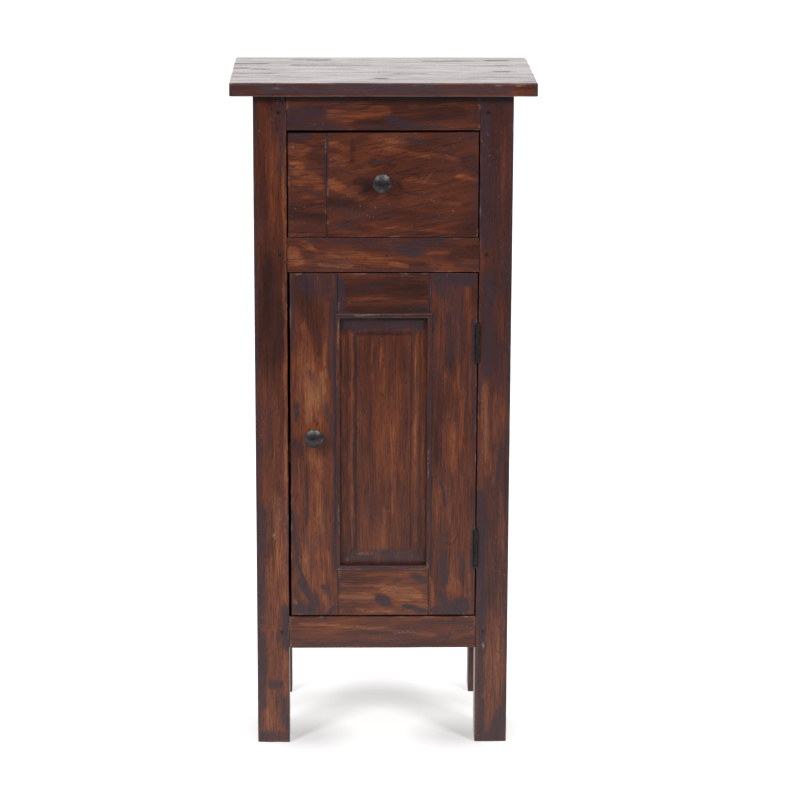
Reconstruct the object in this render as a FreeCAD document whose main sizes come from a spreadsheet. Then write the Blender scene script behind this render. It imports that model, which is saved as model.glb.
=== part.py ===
"""Storage side table with one drawer over one door, in mortised and tenoned hardwood.

Four square legs carry rails on every side. The front has three rails: one under the top, one between the
drawer and the door, one under the door. The sides and the back are rails with a flat panel let into grooves.
The drawer is dovetailed and slides on wooden runners. The door is a tenoned frame round a raised and fielded
panel with a mitred bead, hung on two butt hinges.

Millimetres, +Z up, front towards -Y, origin on the floor in the middle of the footprint.
"""

import FreeCAD, Part
import math
import os
import re

import Sketcher

SIZES = [
    ("body_width", 342, "front, over both legs"),
    ("body_depth", 248, "side, over both legs"),
    ("leg_width", 44, "square section of each leg"),
    ("leg_ease", 2.2, "radius worn on the edges of a leg"),
    ("floor_clearance", 137, "floor to the underside of the lowest rails"),
    ("bottom_rail_height", 45, "rail under the door, and those level with it"),
    ("door_opening_height", 479, "clear height between the bottom and middle rails"),
    ("mid_rail_height", 46.5, "rail between drawer and door"),
    ("drawer_opening_height", 143, "clear height between the middle and top rails"),
    ("top_rail_height", 46.5, "rail under the top, and those level with it"),
    ("rail_thickness", 22, "all rails of the body"),
    ("rail_ease", 0.8, "radius on the long edges of rails and battens"),
    ("top_thickness", 18, "boards of the top"),
    ("top_side_overhang", 30, "top past the legs at each side"),
    ("top_front_overhang", 18, "top past the legs at the front"),
    ("top_ease", 1.6, "radius worn on the edges of the top"),
    ("tenon_length", 22, "rail tenon inside the leg"),
    ("tenon_thickness", 10, "rail tenon"),
    ("tenon_shoulder", 7, "rail edge to the tenon, above and below"),
    ("glue_line", 0.1, "play round a tenon, a peg, a screw or a tongue"),
    ("peg_diameter", 6, "dowel pinned through each tenon"),
    ("peg_length", 26, "dowel"),
    ("peg_setback", 10, "dowel centre to the shoulder line"),
    ("panel_thickness", 9, "side and back panels"),
    ("panel_tongue", 6, "panel inside its groove"),
    ("panel_play", 0.4, "room for a panel to swell in its groove"),
    ("floor_thickness", 12, "bottom board of the cupboard"),
    ("floor_cleat_thickness", 15, "square battens under the bottom board"),
    ("board_play", 0.3, "gap round a loose board"),
    ("shelf_thickness", 15, "shelf"),
    ("shelf_height", 240, "top of the bottom rail to the top of the shelf"),
    ("shelf_setback", 26, "front face to the front of the shelf"),
    ("shelf_cleat_thickness", 15, "square battens under the shelf"),
    ("runner_width", 22, "drawer runner and kicker, across"),
    ("runner_height", 20, "drawer runner, up and down"),
    ("kicker_height", 18, "batten that keeps the drawer from tipping"),
    ("top_cleat_thickness", 15, "square battens that hold the top"),
    ("top_screw_inset", 12, "end screws of the top, from the legs"),
    ("top_screw_bite", 9, "screw inside the top"),
    ("drawer_side_gap", 1.3, "drawer to opening, each side"),
    ("drawer_top_gap", 3.2, "drawer front to the rail above"),
    ("drawer_bottom_gap", 0.8, "drawer front to the rail below"),
    ("running_gap", 0.3, "drawer sides to the runners, and drawer to its stops"),
    ("kicker_gap", 5.7, "drawer sides to the kickers"),
    ("drawer_front_thickness", 20, "drawer front"),
    ("drawer_joint_offset", 51.3, "left end of the drawer front to its glued joint"),
    ("drawer_side_thickness", 12, "drawer sides"),
    ("drawer_back_thickness", 12, "drawer back"),
    ("drawer_back_drop", 11, "top of the sides to the top of the back"),
    ("drawer_back_inset", 12, "drawer back to the ends of the sides"),
    ("drawer_dado", 4, "drawer back let into the sides"),
    ("drawer_lap", 8, "wood of the front left over the dovetails"),
    ("tail_width", 24, "dovetail at its root"),
    ("tail_spread", 3, "dovetail, wider each side at its end"),
    ("tail_margin", 16, "edges of the side to the outer dovetails"),
    ("drawer_bottom_thickness", 5, "drawer bottom"),
    ("drawer_bottom_lift", 8, "lower edge of the sides to the drawer bottom"),
    ("drawer_groove", 5, "groove for the drawer bottom"),
    ("stop_length", 26, "drawer stop, along the runner to its end"),
    ("stop_height", 12, "drawer stop"),
    ("door_thickness", 20, "door frame"),
    ("door_latch_gap", 3, "door to opening at the knob"),
    ("door_hinge_gap", 1.2, "door to opening at the hinges"),
    ("door_top_gap", 1.5, "door to the rail above"),
    ("door_bottom_gap", 2, "door to the rail below"),
    ("stile_width", 63.5, "door stiles"),
    ("door_top_rail", 57.5, "upper rail of the door"),
    ("door_bottom_rail", 67.3, "lower rail of the door"),
    ("door_ease", 1.2, "radius on the edges of the door frame"),
    ("door_tenon_length", 30, "door rail tenon"),
    ("door_tenon_thickness", 7, "door rail tenon, and the panel's tongue"),
    ("door_tenon_setback", 7, "door face to the tenon"),
    ("door_groove", 8, "depth of the panel groove"),
    ("door_haunch", 8, "door edge to the tenon"),
    ("field_setback", 2, "door face to the face of the raised field"),
    ("field_step", 1.6, "step at the edge of the field"),
    ("field_border", 24.8, "frame to the field"),
    ("bead_width", 6.5, "bead round the panel, half of it on the frame"),
    ("bead_rise", 2.4, "bead above the door face"),
    ("bead_tail", 4.4, "bead down inside the frame"),
    ("bead_lip", 0.2, "square edge of the bead under its rounding"),
    ("hinge_length", 50.8, "butt hinge"),
    ("hinge_leaf_width", 18.5, "pin to the edge of a leaf"),
    ("hinge_leaf_thickness", 1.4, "leaf"),
    ("hinge_leaf_gap", 0.6, "between closed leaves"),
    ("hinge_inset", 94.6, "end of the door to the middle of a hinge"),
    ("knuckle_diameter", 6.4, "hinge barrel"),
    ("knuckle_gap", 0.2, "between knuckles"),
    ("barrel_play", 0.4, "room round the barrel, cut in door and leg"),
    ("pin_diameter", 3, "hinge pin"),
    ("pin_play", 0.05, "pin to the door's knuckles, all round"),
    ("pin_fit", 0.02, "pin to the frame's knuckles, all round"),
    ("pin_setout", 1.2, "pin in front of the door face"),
    ("pin_stand", 0.8, "pin past each end of the barrel"),
    ("screw_head", 6, "wood screw head"),
    ("screw_head_depth", 1.3, "countersink"),
    ("screw_shank", 3, "wood screw shank"),
    ("screw_length", 14, "hinge screw"),
    ("screw_spacing", 18, "between the screws of a leaf"),
    ("screw_near", 7, "end screws, from the door face"),
    ("screw_far", 12, "middle screw, from the door face"),
    ("knob_diameter", 26, "knob head"),
    ("knob_projection", 24, "knob, from the wood to its crown"),
    ("knob_foot", 16, "diameter where the knob meets the wood"),
    ("knob_neck", 10, "diameter of the knob's waist"),
    ("knob_neck_height", 6.5, "wood to the waist"),
    ("knob_foot_sweep", 6.8, "radius of the hollow between foot and waist"),
    ("knob_head_sweep", 16, "radius of the hollow between waist and rim"),
    ("knob_crown", 5, "height of the domed face over its rim"),
    ("knob_rim", 2.4, "thickness of the rim"),
    ("knob_bolt", 4, "bolt through the wood into the knob"),
    ("knob_bolt_depth", 9, "bolt inside the knob"),
    ("knob_bolt_head", 8, "bolt head"),
    ("knob_bolt_head_height", 2.4, "bolt head"),
    ("drawer_knob_rise", 5, "drawer knob above the middle of the front"),
    ("drawer_knob_shift", -1.5, "drawer knob to the right of the middle"),
    ("door_knob_rise", 16, "door knob above the middle of the door"),
    ("stop_block_width", 40, "block that the door closes against"),
    ("stop_block_thickness", 14, "block, front to back"),
    ("stop_block_drop", 18, "block below the middle rail"),
    ("magnet_diameter", 10, "round magnet in the block"),
    ("magnet_depth", 4, "magnet"),
    ("strike_diameter", 12, "steel disc on the door"),
    ("strike_depth", 1.2, "steel disc"),
    ("catch_gap", 0.3, "closed door to its stop"),
]

# Places worked out from the sizes. Each may use sizes and other places.
PLACES = {
    "half_width": "body_width / 2",
    "opening_half": "half_width - leg_width",
    "face": "(knob_projection - body_depth) / 2",
    "rear": "face + body_depth",
    "top_of_bottom_rail": "floor_clearance + bottom_rail_height",
    "under_mid_rail": "top_of_bottom_rail + door_opening_height",
    "top_of_mid_rail": "under_mid_rail + mid_rail_height",
    "under_top_rail": "top_of_mid_rail + drawer_opening_height",
    "leg_height": "under_top_rail + top_rail_height",
    "inner_front": "face + rail_thickness",
    "inner_rear": "rear - rail_thickness",
    "inner_half": "half_width - rail_thickness",
    "front_leg_rear": "face + leg_width",
    "rear_leg_front": "rear - leg_width",
    "tenon_inset": "(rail_thickness - tenon_thickness) / 2",
    "panel_inset": "(rail_thickness - panel_thickness) / 2",
    "panel_inner": "inner_half + panel_inset",
    "panel_groove": "panel_tongue + panel_play",
    "door_left": "-opening_half + door_latch_gap",
    "door_right": "opening_half - door_hinge_gap",
    "door_low": "top_of_bottom_rail + door_bottom_gap",
    "door_high": "under_mid_rail - door_top_gap",
    "door_rear": "face + door_thickness",
    "frame_left": "door_left + stile_width",
    "frame_right": "door_right - stile_width",
    "frame_low": "door_low + door_bottom_rail",
    "frame_high": "door_high - door_top_rail",
    "latch_stile_middle": "(door_left + frame_left) / 2",
    "tongue_front": "face + door_tenon_setback",
    "tongue_rear": "tongue_front + door_tenon_thickness",
    "drawer_half": "opening_half - drawer_side_gap",
    "drawer_inner_half": "drawer_half - drawer_side_thickness",
    "drawer_low": "top_of_mid_rail + drawer_bottom_gap",
    "drawer_high": "under_top_rail - drawer_top_gap",
    "drawer_front_rear": "face + drawer_front_thickness",
    "stop_front": "inner_rear - stop_length",
    "drawer_end": "stop_front - running_gap",
    "drawer_back_rear": "drawer_end - drawer_back_inset",
    "drawer_joint": "-drawer_half + drawer_joint_offset",
    "side_low": "top_of_mid_rail + running_gap",
    "side_high": "under_top_rail - kicker_gap",
    "side_height": "side_high - side_low",
    "drawer_back_high": "side_high - drawer_back_drop",
    "tail_length": "drawer_front_thickness - drawer_lap",
    "bottom_low": "side_low + drawer_bottom_lift",
    "bottom_high": "bottom_low + drawer_bottom_thickness",
    "pin_x": "opening_half - door_hinge_gap / 2",
    "pin_y": "face - pin_setout",
    "shelf_top": "top_of_bottom_rail + shelf_height",
    "shelf_low": "shelf_top - shelf_thickness",
    "bead_round": "bead_rise - bead_lip",
    "catch_height": "(door_high + under_mid_rail - stop_block_drop) / 2",
}

TAILS = 3
KNUCKLES = 5
TOP_BOARDS = ("front", "middle", "rear")
SIDES = (("left", -1), ("right", 1))
TINY = 1e-6

V = FreeCAD.Vector
TURNS = {
    "+z": FreeCAD.Rotation(),
    "-z": FreeCAD.Rotation(V(1, 0, 0), 180),
    "+x": FreeCAD.Rotation(V(0, 1, 0), 90),
    "-x": FreeCAD.Rotation(V(0, 1, 0), -90),
    "+y": FreeCAD.Rotation(V(1, 0, 0), -90),
    "-y": FreeCAD.Rotation(V(1, 0, 0), 90),
}

NAMES = {name for name, _, _ in SIZES}
WORD = re.compile(r"[a-z][a-z_]*")

doc = FreeCAD.newDocument("storage_side_table")
sheet = doc.addObject("Spreadsheet::Sheet", "dims")
for row, (name, size, note) in enumerate(SIZES, start=1):
    sheet.set(f"A{row}", name)
    sheet.set(f"B{row}", str(size))
    sheet.set(f"C{row}", note)
    sheet.setAlias(f"B{row}", name)
sheet.recompute()

nodes = []
pegs = []


# Formulas


def formula(text):
    """The text as an expression: each place written out, each size pointed at its cell."""

    def written_out(found):
        word = found.group(0)
        if word in PLACES:
            return f"({formula(PLACES[word])})"
        return f"dims.{word}" if word in NAMES else word

    return WORD.sub(written_out, text)


def value(text):
    """What a formula gives now, for what can't be bound."""
    return float(sheet.evalExpression(formula(text)))


def bind(thing, place=None, **formulas):
    """Binds properties to formulas, and the position to three of them."""
    for name, text in formulas.items():
        thing.setExpression(name, formula(text))
    for axis, text in zip("xyz", place or ()):
        thing.setExpression(f"Placement.Base.{axis}", formula(text))


def minus(a, b):
    """Three formulas less three others."""
    return tuple(f"({p}) - ({q})" for p, q in zip(a, b))


def across(side, inner, outer):
    """(low, high) along X of what runs from inner to outer on the right, or its mirror on the left."""
    return (inner, outer) if side > 0 else (f"-({outer})", f"-({inner})")


def mirrored(side, text):
    return text if side > 0 else f"-({text})"


# Pieces


class Piece:
    """One solid: a PartDesign body that stands at a place of the table. A loose one gets its node later."""

    def __init__(self, label, corner, loose=False):
        self.label = label
        self.corner = corner
        self.count = 0
        self.body = doc.addObject("PartDesign::Body", label)
        self.body.Label = label
        self.datums = {datum.Role: datum for datum in self.body.Origin.OriginFeatures}
        bind(self.body, place=corner)
        if not loose:
            nodes.append(self.body)

    def feature(self, kind, word):
        self.count += 1
        return self.body.newObject(kind, f"{self.label}_{word}_{self.count}")

    def local(self, place):
        """A place of the table, measured from this piece's own origin."""
        return minus(place, self.corner)

    def box(self, kind, low, high, word):
        thing = self.feature(kind, word)
        length, width, height = minus(high, low)
        bind(thing, place=self.local(low), Length=length, Width=width, Height=height)

    def add(self, low, high, word):
        """Joins a block between two places of the table."""
        self.box("PartDesign::AdditiveBox", low, high, word)

    def cut(self, low, high, word):
        """Takes away a block between two places of the table."""
        self.box("PartDesign::SubtractiveBox", low, high, word)

    def rod(self, foot, axis, radius, length, word, kind="PartDesign::AdditiveCylinder"):
        """A cylinder from foot along axis, one of +x -x +y -y +z -z."""
        thing = self.feature(kind, word)
        bind(thing, place=self.local(foot), Radius=radius, Height=length)
        thing.Placement.Rotation = TURNS[axis]

    def drill(self, foot, axis, radius, length, word):
        self.rod(foot, axis, radius, length, word, kind="PartDesign::SubtractiveCylinder")

    def sketch(self, plane, points, word, arcs=None, offset="0"):
        """A closed outline on a plane of the piece. arcs maps a point's number to the (radius, bend) of the
        arc that leaves it: bend 1 has its centre to the left of the way round, and -1 to the right."""
        drawing = self.feature("Sketcher::SketchObject", word)
        drawing.AttachmentSupport = [(self.datums[plane], "")]
        drawing.MapMode = "FlatFace"
        if offset != "0":
            drawing.setExpression("AttachmentOffset.Base.z", formula(offset))
        corners = [V(value(x), value(y), 0) for x, y in points]
        ends = []
        for n, start in enumerate(corners):
            end = corners[(n + 1) % len(corners)]
            if arcs and n in arcs:
                radius, bend = arcs[n]
                drawing.addGeometry(arc(start, end, value(radius), bend))
                ends.append((1, 2) if bend > 0 else (2, 1))
            else:
                drawing.addGeometry(Part.LineSegment(start, end))
                ends.append((1, 2))
        for n in range(len(corners)):
            after = (n + 1) % len(corners)
            drawing.addConstraint(Sketcher.Constraint("Coincident", n, ends[n][1], after, ends[after][0]))
        for n, place in enumerate(points):
            for kind, text in zip(("DistanceX", "DistanceY"), place):
                hold(drawing, text, kind, -1, 1, n, ends[n][0])
        for n, (radius, _) in (arcs or {}).items():
            hold(drawing, radius, "Radius", n)
        return drawing

    def pad(self, drawing, length, word, reverse=False):
        thing = self.feature("PartDesign::Pad", word)
        thing.Profile = drawing
        thing.Reversed = reverse
        bind(thing, Length=length)

    def ease(self, radius, keep=()):
        """Rounds the edges of the newest feature, but not those that lie on the sides named in keep."""
        base = self.body.Tip
        base.recompute(True)
        box = base.Shape.BoundBox
        sides = {
            "left": lambda point: point.x - box.XMin,
            "right": lambda point: box.XMax - point.x,
            "front": lambda point: point.y - box.YMin,
            "rear": lambda point: box.YMax - point.y,
        }
        names = [
            f"Edge{n}"
            for n, edge in enumerate(base.Shape.Edges, start=1)
            if not any(all(sides[side](corner.Point) < TINY for corner in edge.Vertexes) for side in keep)
        ]
        self.fillet(base, names, radius)

    def fillet(self, base, names, radius):
        thing = self.feature("PartDesign::Fillet", "eased")
        thing.Base = (base, names)
        bind(thing, Radius=radius)


def hold(drawing, text, kind, *parts):
    """A sketch dimension bound to a formula."""
    number = drawing.addConstraint(Sketcher.Constraint(kind, *parts, value(text)))
    drawing.setExpression(f"Constraints[{number}]", formula(text))


def arc(start, end, radius, bend):
    """The shorter arc between two points, with its centre to the left of the way there, or to the right."""
    chord = end - start
    rise = math.sqrt(radius**2 - chord.Length**2 / 4)
    left = V(-chord.y, chord.x, 0).normalize()
    middle = (start + end) / 2
    return Part.Arc(start, middle + left * bend * (rise - radius), end)


def board(label, low, high, ease="rail_ease", keep=(), loose=False):
    """A sawn board between two places of the table, padded from its section and eased along its edges."""
    length, width, height = minus(high, low)
    piece = Piece(label, low, loose)
    section = piece.sketch("XY_Plane", [("0", "0"), (length, "0"), (length, width), ("0", width)], "section")
    piece.pad(section, height, "board")
    if ease:
        piece.ease(ease, keep)
    return piece


def group(label, things):
    """Like solids that share one node."""
    together = doc.addObject("Part::Compound", label)
    together.Label = label
    together.Links = things
    nodes.append(together)


def screw(label, foot, axis, length, through, into):
    """A countersunk wood screw, its head flush at foot, with its holes in the two pieces that it joins."""
    head = doc.addObject("Part::Cone", f"{label}_head")
    bind(head, Radius1="screw_head / 2", Radius2="screw_shank / 2", Height="screw_head_depth")
    shank = doc.addObject("Part::Cylinder", f"{label}_shank")
    bind(shank, Radius="screw_shank / 2", Height=length)
    whole = doc.addObject("Part::Fuse", label)
    whole.Base = head
    whole.Tool = shank
    bind(whole, place=foot)
    whole.Placement.Rotation = TURNS[axis]
    for piece in (through, into):
        piece.drill(foot, axis, "screw_shank / 2 + glue_line", f"{length} + glue_line", "pilot")
    seat = through.feature("PartDesign::SubtractiveCone", "countersink")
    bind(
        seat,
        place=through.local(foot),
        Radius1="screw_head / 2 + glue_line",
        Radius2="screw_shank / 2 + glue_line",
        Height="screw_head_depth",
    )
    seat.Placement.Rotation = TURNS[axis]
    return whole


def peg(foot, axis, drilled):
    """A dowel flush with the leg's face, and its hole through the pieces that it pins."""
    for piece in drilled:
        piece.drill(foot, axis, "peg_diameter / 2 + glue_line", "peg_length + glue_line", "peg_hole")
    dowel = doc.addObject("Part::Cylinder", f"peg_{len(pegs)}")
    bind(dowel, place=foot, Radius="peg_diameter / 2", Height="peg_length")
    dowel.Placement.Rotation = TURNS[axis]
    pegs.append(dowel)


# Legs, rails and panels


def make_legs():
    """Four posts, each known by (side, end): end is -1 at the front and 1 at the back."""
    ends = (("front", -1, "face", "front_leg_rear"), ("rear", 1, "rear_leg_front", "rear"))
    legs = {}
    for side_name, side in SIDES:
        x_low, x_high = across(side, "opening_half", "half_width")
        for end_name, end, y_low, y_high in ends:
            label = f"{end_name}_{side_name}_leg"
            legs[side, end] = board(label, (x_low, y_low, "0"), (x_high, y_high, "leg_height"), "leg_ease")
    return legs


def make_cross_rail(label, legs, end, low, high):
    """A rail across the front or back, tenoned and pegged into two legs."""
    y_low, y_high = ("face", "inner_front") if end < 0 else ("inner_rear", "rear")
    rail = board(label, ("-opening_half", y_low, low), ("opening_half", y_high, high), keep=("left", "right"))
    for _, side in SIDES:
        leg = legs[side, end]
        x_low, x_high = across(side, "opening_half", "opening_half + tenon_length")
        rail.add(
            (x_low, f"{y_low} + tenon_inset", f"{low} + tenon_shoulder"),
            (x_high, f"{y_high} - tenon_inset", f"{high} - tenon_shoulder"),
            "tenon",
        )
        x_low, x_high = across(side, "opening_half", "opening_half + tenon_length + glue_line")
        leg.cut(
            (x_low, f"{y_low} + tenon_inset - glue_line", f"{low} + tenon_shoulder - glue_line"),
            (x_high, f"{y_high} - tenon_inset + glue_line", f"{high} - tenon_shoulder + glue_line"),
            "mortise",
        )
        foot, axis = ("face", "+y") if end < 0 else ("rear", "-y")
        peg((mirrored(side, "opening_half + peg_setback"), foot, f"({low} + {high}) / 2"), axis, (rail, leg))
    return rail


def make_side_rail(label, legs, side, low, high):
    """A rail along one side, tenoned and pegged into its front and back legs."""
    x_low, x_high = across(side, "inner_half", "half_width")
    span = (x_low, "front_leg_rear", low), (x_high, "rear_leg_front", high)
    rail = board(label, *span, keep=("front", "rear"))
    for end, shoulder in ((-1, "front_leg_rear"), (1, "rear_leg_front")):
        leg = legs[side, end]
        for shape, play, word in ((rail.add, "0", "tenon"), (leg.cut, "glue_line", "mortise")):
            y_low, y_high = [shoulder, f"{shoulder} + {end} * (tenon_length + {play})"][::end]
            shape(
                (f"{x_low} + tenon_inset - {play}", y_low, f"{low} + tenon_shoulder - {play}"),
                (f"{x_high} - tenon_inset + {play}", y_high, f"{high} - tenon_shoulder + {play}"),
                word,
            )
        foot, axis = mirrored(side, "half_width"), "-x" if side > 0 else "+x"
        peg((foot, f"{shoulder} + {end} * peg_setback", f"({low} + {high}) / 2"), axis, (rail, leg))
    return rail


def make_side_panel(label, legs, side, upper, lower):
    """A flat board let into grooves in two legs and two rails."""
    x_low, x_high = across(side, "panel_inner", "panel_inner + panel_thickness")
    board(
        label,
        (x_low, "front_leg_rear - panel_tongue", "top_of_bottom_rail - panel_tongue"),
        (x_high, "rear_leg_front + panel_tongue", "under_top_rail + panel_tongue"),
        ease=None,
    )
    x_low, x_high = f"{x_low} - glue_line", f"{x_high} + glue_line"
    y_front, y_rear = "front_leg_rear - panel_groove", "rear_leg_front + panel_groove"
    z_low, z_high = "top_of_bottom_rail - panel_groove", "under_top_rail + panel_groove"
    legs[side, -1].cut((x_low, y_front, z_low), (x_high, "front_leg_rear", z_high), "groove")
    legs[side, 1].cut((x_low, "rear_leg_front", z_low), (x_high, y_rear, z_high), "groove")
    upper.cut((x_low, "front_leg_rear", "under_top_rail"), (x_high, "rear_leg_front", z_high), "groove")
    lower.cut((x_low, "front_leg_rear", z_low), (x_high, "rear_leg_front", "top_of_bottom_rail"), "groove")


def make_back_panel(legs, upper, lower):
    """The same at the back."""
    y_low, y_high = "inner_rear + panel_inset", "inner_rear + panel_inset + panel_thickness"
    board(
        "back_panel",
        ("-opening_half - panel_tongue", y_low, "top_of_bottom_rail - panel_tongue"),
        ("opening_half + panel_tongue", y_high, "under_top_rail + panel_tongue"),
        ease=None,
    )
    y_low, y_high = f"{y_low} - glue_line", f"{y_high} + glue_line"
    z_low, z_high = "top_of_bottom_rail - panel_groove", "under_top_rail + panel_groove"
    for _, side in SIDES:
        x_low, x_high = across(side, "opening_half", "opening_half + panel_groove")
        legs[side, 1].cut((x_low, y_low, z_low), (x_high, y_high, z_high), "groove")
    upper.cut(("-opening_half", y_low, "under_top_rail"), ("opening_half", y_high, z_high), "groove")
    lower.cut(("-opening_half", y_low, z_low), ("opening_half", y_high, "top_of_bottom_rail"), "groove")


# Inside the body


def make_notched_board(label, half, y_low, y_high, z_low, z_high):
    """A level board as wide as the body inside, cut out round the four legs."""
    piece = Piece(label, (f"-({half})", y_low, z_low))
    wide, deep = f"2 * ({half})", f"{y_high} - ({y_low})"
    left = f"{half} - opening_half + board_play"
    right = f"{wide} - ({left})"
    front = f"front_leg_rear + board_play - ({y_low})"
    rear = f"rear_leg_front - board_play - ({y_low})"
    outline = [(left, "0"), (right, "0"), (right, front), (wide, front), (wide, rear), (right, rear)]
    outline += [(right, deep), (left, deep), (left, rear), ("0", rear), ("0", front), (left, front)]
    piece.pad(piece.sketch("XY_Plane", outline, "outline"), f"{z_high} - ({z_low})", "board")


def make_cupboard_inside():
    """Bottom board and shelf, each on two battens."""
    under = "top_of_bottom_rail - floor_thickness"
    make_notched_board(
        "cupboard_floor",
        "inner_half - board_play",
        "inner_front + board_play",
        "inner_rear - board_play",
        under,
        "top_of_bottom_rail",
    )
    make_notched_board(
        "shelf",
        "panel_inner - board_play",
        "face + shelf_setback",
        "inner_rear - board_play",
        "shelf_low",
        "shelf_top",
    )
    battens = []
    for n, y_low in enumerate(("inner_front", "inner_rear - floor_cleat_thickness")):
        low = ("-opening_half", y_low, f"{under} - floor_cleat_thickness")
        high = ("opening_half", f"{y_low} + floor_cleat_thickness", under)
        battens.append(board(f"floor_cleat_{n}", low, high, keep=("left", "right"), loose=True).body)
    group("floor_cleats", battens)
    battens = []
    for name, side in SIDES:
        x_low, x_high = across(side, "opening_half - shelf_cleat_thickness", "opening_half")
        low = (x_low, "face + shelf_setback", "shelf_low - shelf_cleat_thickness")
        high = (x_high, "inner_rear", "shelf_low")
        battens.append(board(f"shelf_cleat_{name}", low, high, keep=("front", "rear"), loose=True).body)
    group("shelf_cleats", battens)


def make_drawer_ways():
    """Runners under the drawer, kickers over it and stops behind it, fixed to the legs' inner faces."""
    ways = (
        ("runner", "top_of_mid_rail - runner_height", "top_of_mid_rail"),
        ("kicker", "under_top_rail", "under_top_rail + kicker_height"),
    )
    stops = []
    for name, side in SIDES:
        x_low, x_high = across(side, "opening_half - runner_width", "opening_half")
        for word, z_low, z_high in ways:
            low, high = (x_low, "inner_front", z_low), (x_high, "inner_rear", z_high)
            board(f"drawer_{word}_{name}", low, high, keep=("front", "rear"))
        stop = doc.addObject("Part::Box", f"stop_{name}")
        bind(stop, Length="runner_width", Width="stop_length", Height="stop_height")
        bind(stop, place=(x_low, "stop_front", "top_of_mid_rail"))
        stops.append(stop)
    group("drawer_stops", stops)


def make_top():
    """Boards glued edge to edge, screwed up through a batten at each side."""
    x_low, x_high = "-half_width - top_side_overhang", "half_width + top_side_overhang"
    width = f"(body_depth + top_front_overhang) / {len(TOP_BOARDS)}"
    boards = []
    for n, name in enumerate(TOP_BOARDS):
        glued = (["front"] if n > 0 else []) + (["rear"] if n < len(TOP_BOARDS) - 1 else [])
        low = (x_low, f"face - top_front_overhang + {n} * {width}", "leg_height")
        high = (x_high, f"face - top_front_overhang + {n + 1} * {width}", "leg_height + top_thickness")
        boards.append(board(f"top_board_{name}", low, high, "top_ease", keep=glued))
    rows = (
        "front_leg_rear + top_screw_inset",
        "(face - top_front_overhang + rear) / 2",
        "rear_leg_front - top_screw_inset",
    )
    battens, screws = [], []
    for name, side in SIDES:
        x_low, x_high = across(side, "inner_half - top_cleat_thickness", "inner_half")
        low = (x_low, "front_leg_rear", "leg_height - top_cleat_thickness")
        high = (x_high, "rear_leg_front", "leg_height")
        batten = board(f"top_cleat_{name}", low, high, keep=("front", "rear"), loose=True)
        for y, plank in zip(rows, boards):
            foot = (mirrored(side, "inner_half - top_cleat_thickness / 2"), y, low[2])
            label = f"top_screw_{len(screws)}"
            screws.append(screw(label, foot, "+z", "top_cleat_thickness + top_screw_bite", batten, plank))
        battens.append(batten.body)
    group("top_cleats", battens)
    group("top_screws", screws)


# Drawer


def tails(play):
    """For each dovetail, its low and high edges at the root and at the end, from the side's lower edge."""
    pitch = f"(side_height - 2 * tail_margin - tail_width) / {TAILS - 1}"
    edges = []
    for n in range(TAILS):
        root = f"tail_margin + {n} * {pitch}"
        low, high = f"{root} - {play}", f"{root} + tail_width + {play}"
        edges.append((low, high, f"{low} - tail_spread", f"{high} + tail_spread"))
    return edges


def make_drawer():
    """Front of two boards glued end to end, dovetailed sides, housed back and a bottom let into grooves."""
    joint, root, inner = "drawer_joint", "drawer_front_rear", "drawer_inner_half"
    low, high = ("-drawer_half", "face", "drawer_low"), (joint, root, "drawer_high")
    left = board("drawer_front_left", low, high, keep=["right"])
    low, high = (joint, "face", "drawer_low"), ("drawer_half", root, "drawer_high")
    right = board("drawer_front_right", low, high, keep=["left"])
    for (name, side), front in zip(SIDES, (left, right)):
        make_drawer_side(f"drawer_side_{name}", side)
        cut_sockets(front, side)
    z_low, z_high = "bottom_low - glue_line", "bottom_high + glue_line"
    left.cut((f"-{inner} - drawer_groove", f"{root} - drawer_groove", z_low), (joint, root, z_high), "groove")
    right.cut((joint, f"{root} - drawer_groove", z_low), (f"{inner} + drawer_groove", root, z_high), "groove")
    board(
        "drawer_back",
        (f"-{inner} - drawer_dado + glue_line", "drawer_back_rear - drawer_back_thickness", "bottom_high"),
        (f"{inner} + drawer_dado - glue_line", "drawer_back_rear", "drawer_back_high"),
        ease=None,
    )
    reach = "drawer_groove - panel_play"
    board(
        "drawer_bottom",
        (f"-{inner} - ({reach})", f"{root} - ({reach})", "bottom_low"),
        (f"{inner} + {reach}", "drawer_back_rear", "bottom_high"),
        ease=None,
    )
    height = "(drawer_low + drawer_high) / 2 + drawer_knob_rise"
    make_knob("drawer_knob", "drawer_knob_shift", height, "drawer_front_thickness", right)


def make_drawer_side(label, side):
    """A side with tails at its front end, a groove for the bottom and a housing for the back."""
    root = "drawer_front_rear"
    x_low, x_high = across(side, "drawer_inner_half", "drawer_half")
    piece = Piece(label, (x_low, root, "side_low"))
    outline = [(f"drawer_end - {root}", "0"), (f"drawer_end - {root}", "side_height"), ("0", "side_height")]
    for low, high, end_low, end_high in reversed(tails("0")):
        outline += [("0", high), ("-tail_length", end_high), ("-tail_length", end_low), ("0", low)]
    outline.append(("0", "0"))
    piece.pad(piece.sketch("YZ_Plane", outline, "outline"), "drawer_side_thickness", "board")
    x_low, x_high = across(side, "drawer_inner_half", "drawer_inner_half + drawer_groove")
    z_low, z_high = "bottom_low - glue_line", "bottom_high + glue_line"
    piece.cut((x_low, root, z_low), (x_high, "drawer_end", z_high), "groove")
    x_low, x_high = across(side, "drawer_inner_half", "drawer_inner_half + drawer_dado")
    y_low, y_high = "drawer_back_rear - drawer_back_thickness - glue_line", "drawer_back_rear + glue_line"
    piece.cut((x_low, y_low, "bottom_high"), (x_high, y_high, "drawer_back_high + glue_line"), "housing")


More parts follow.
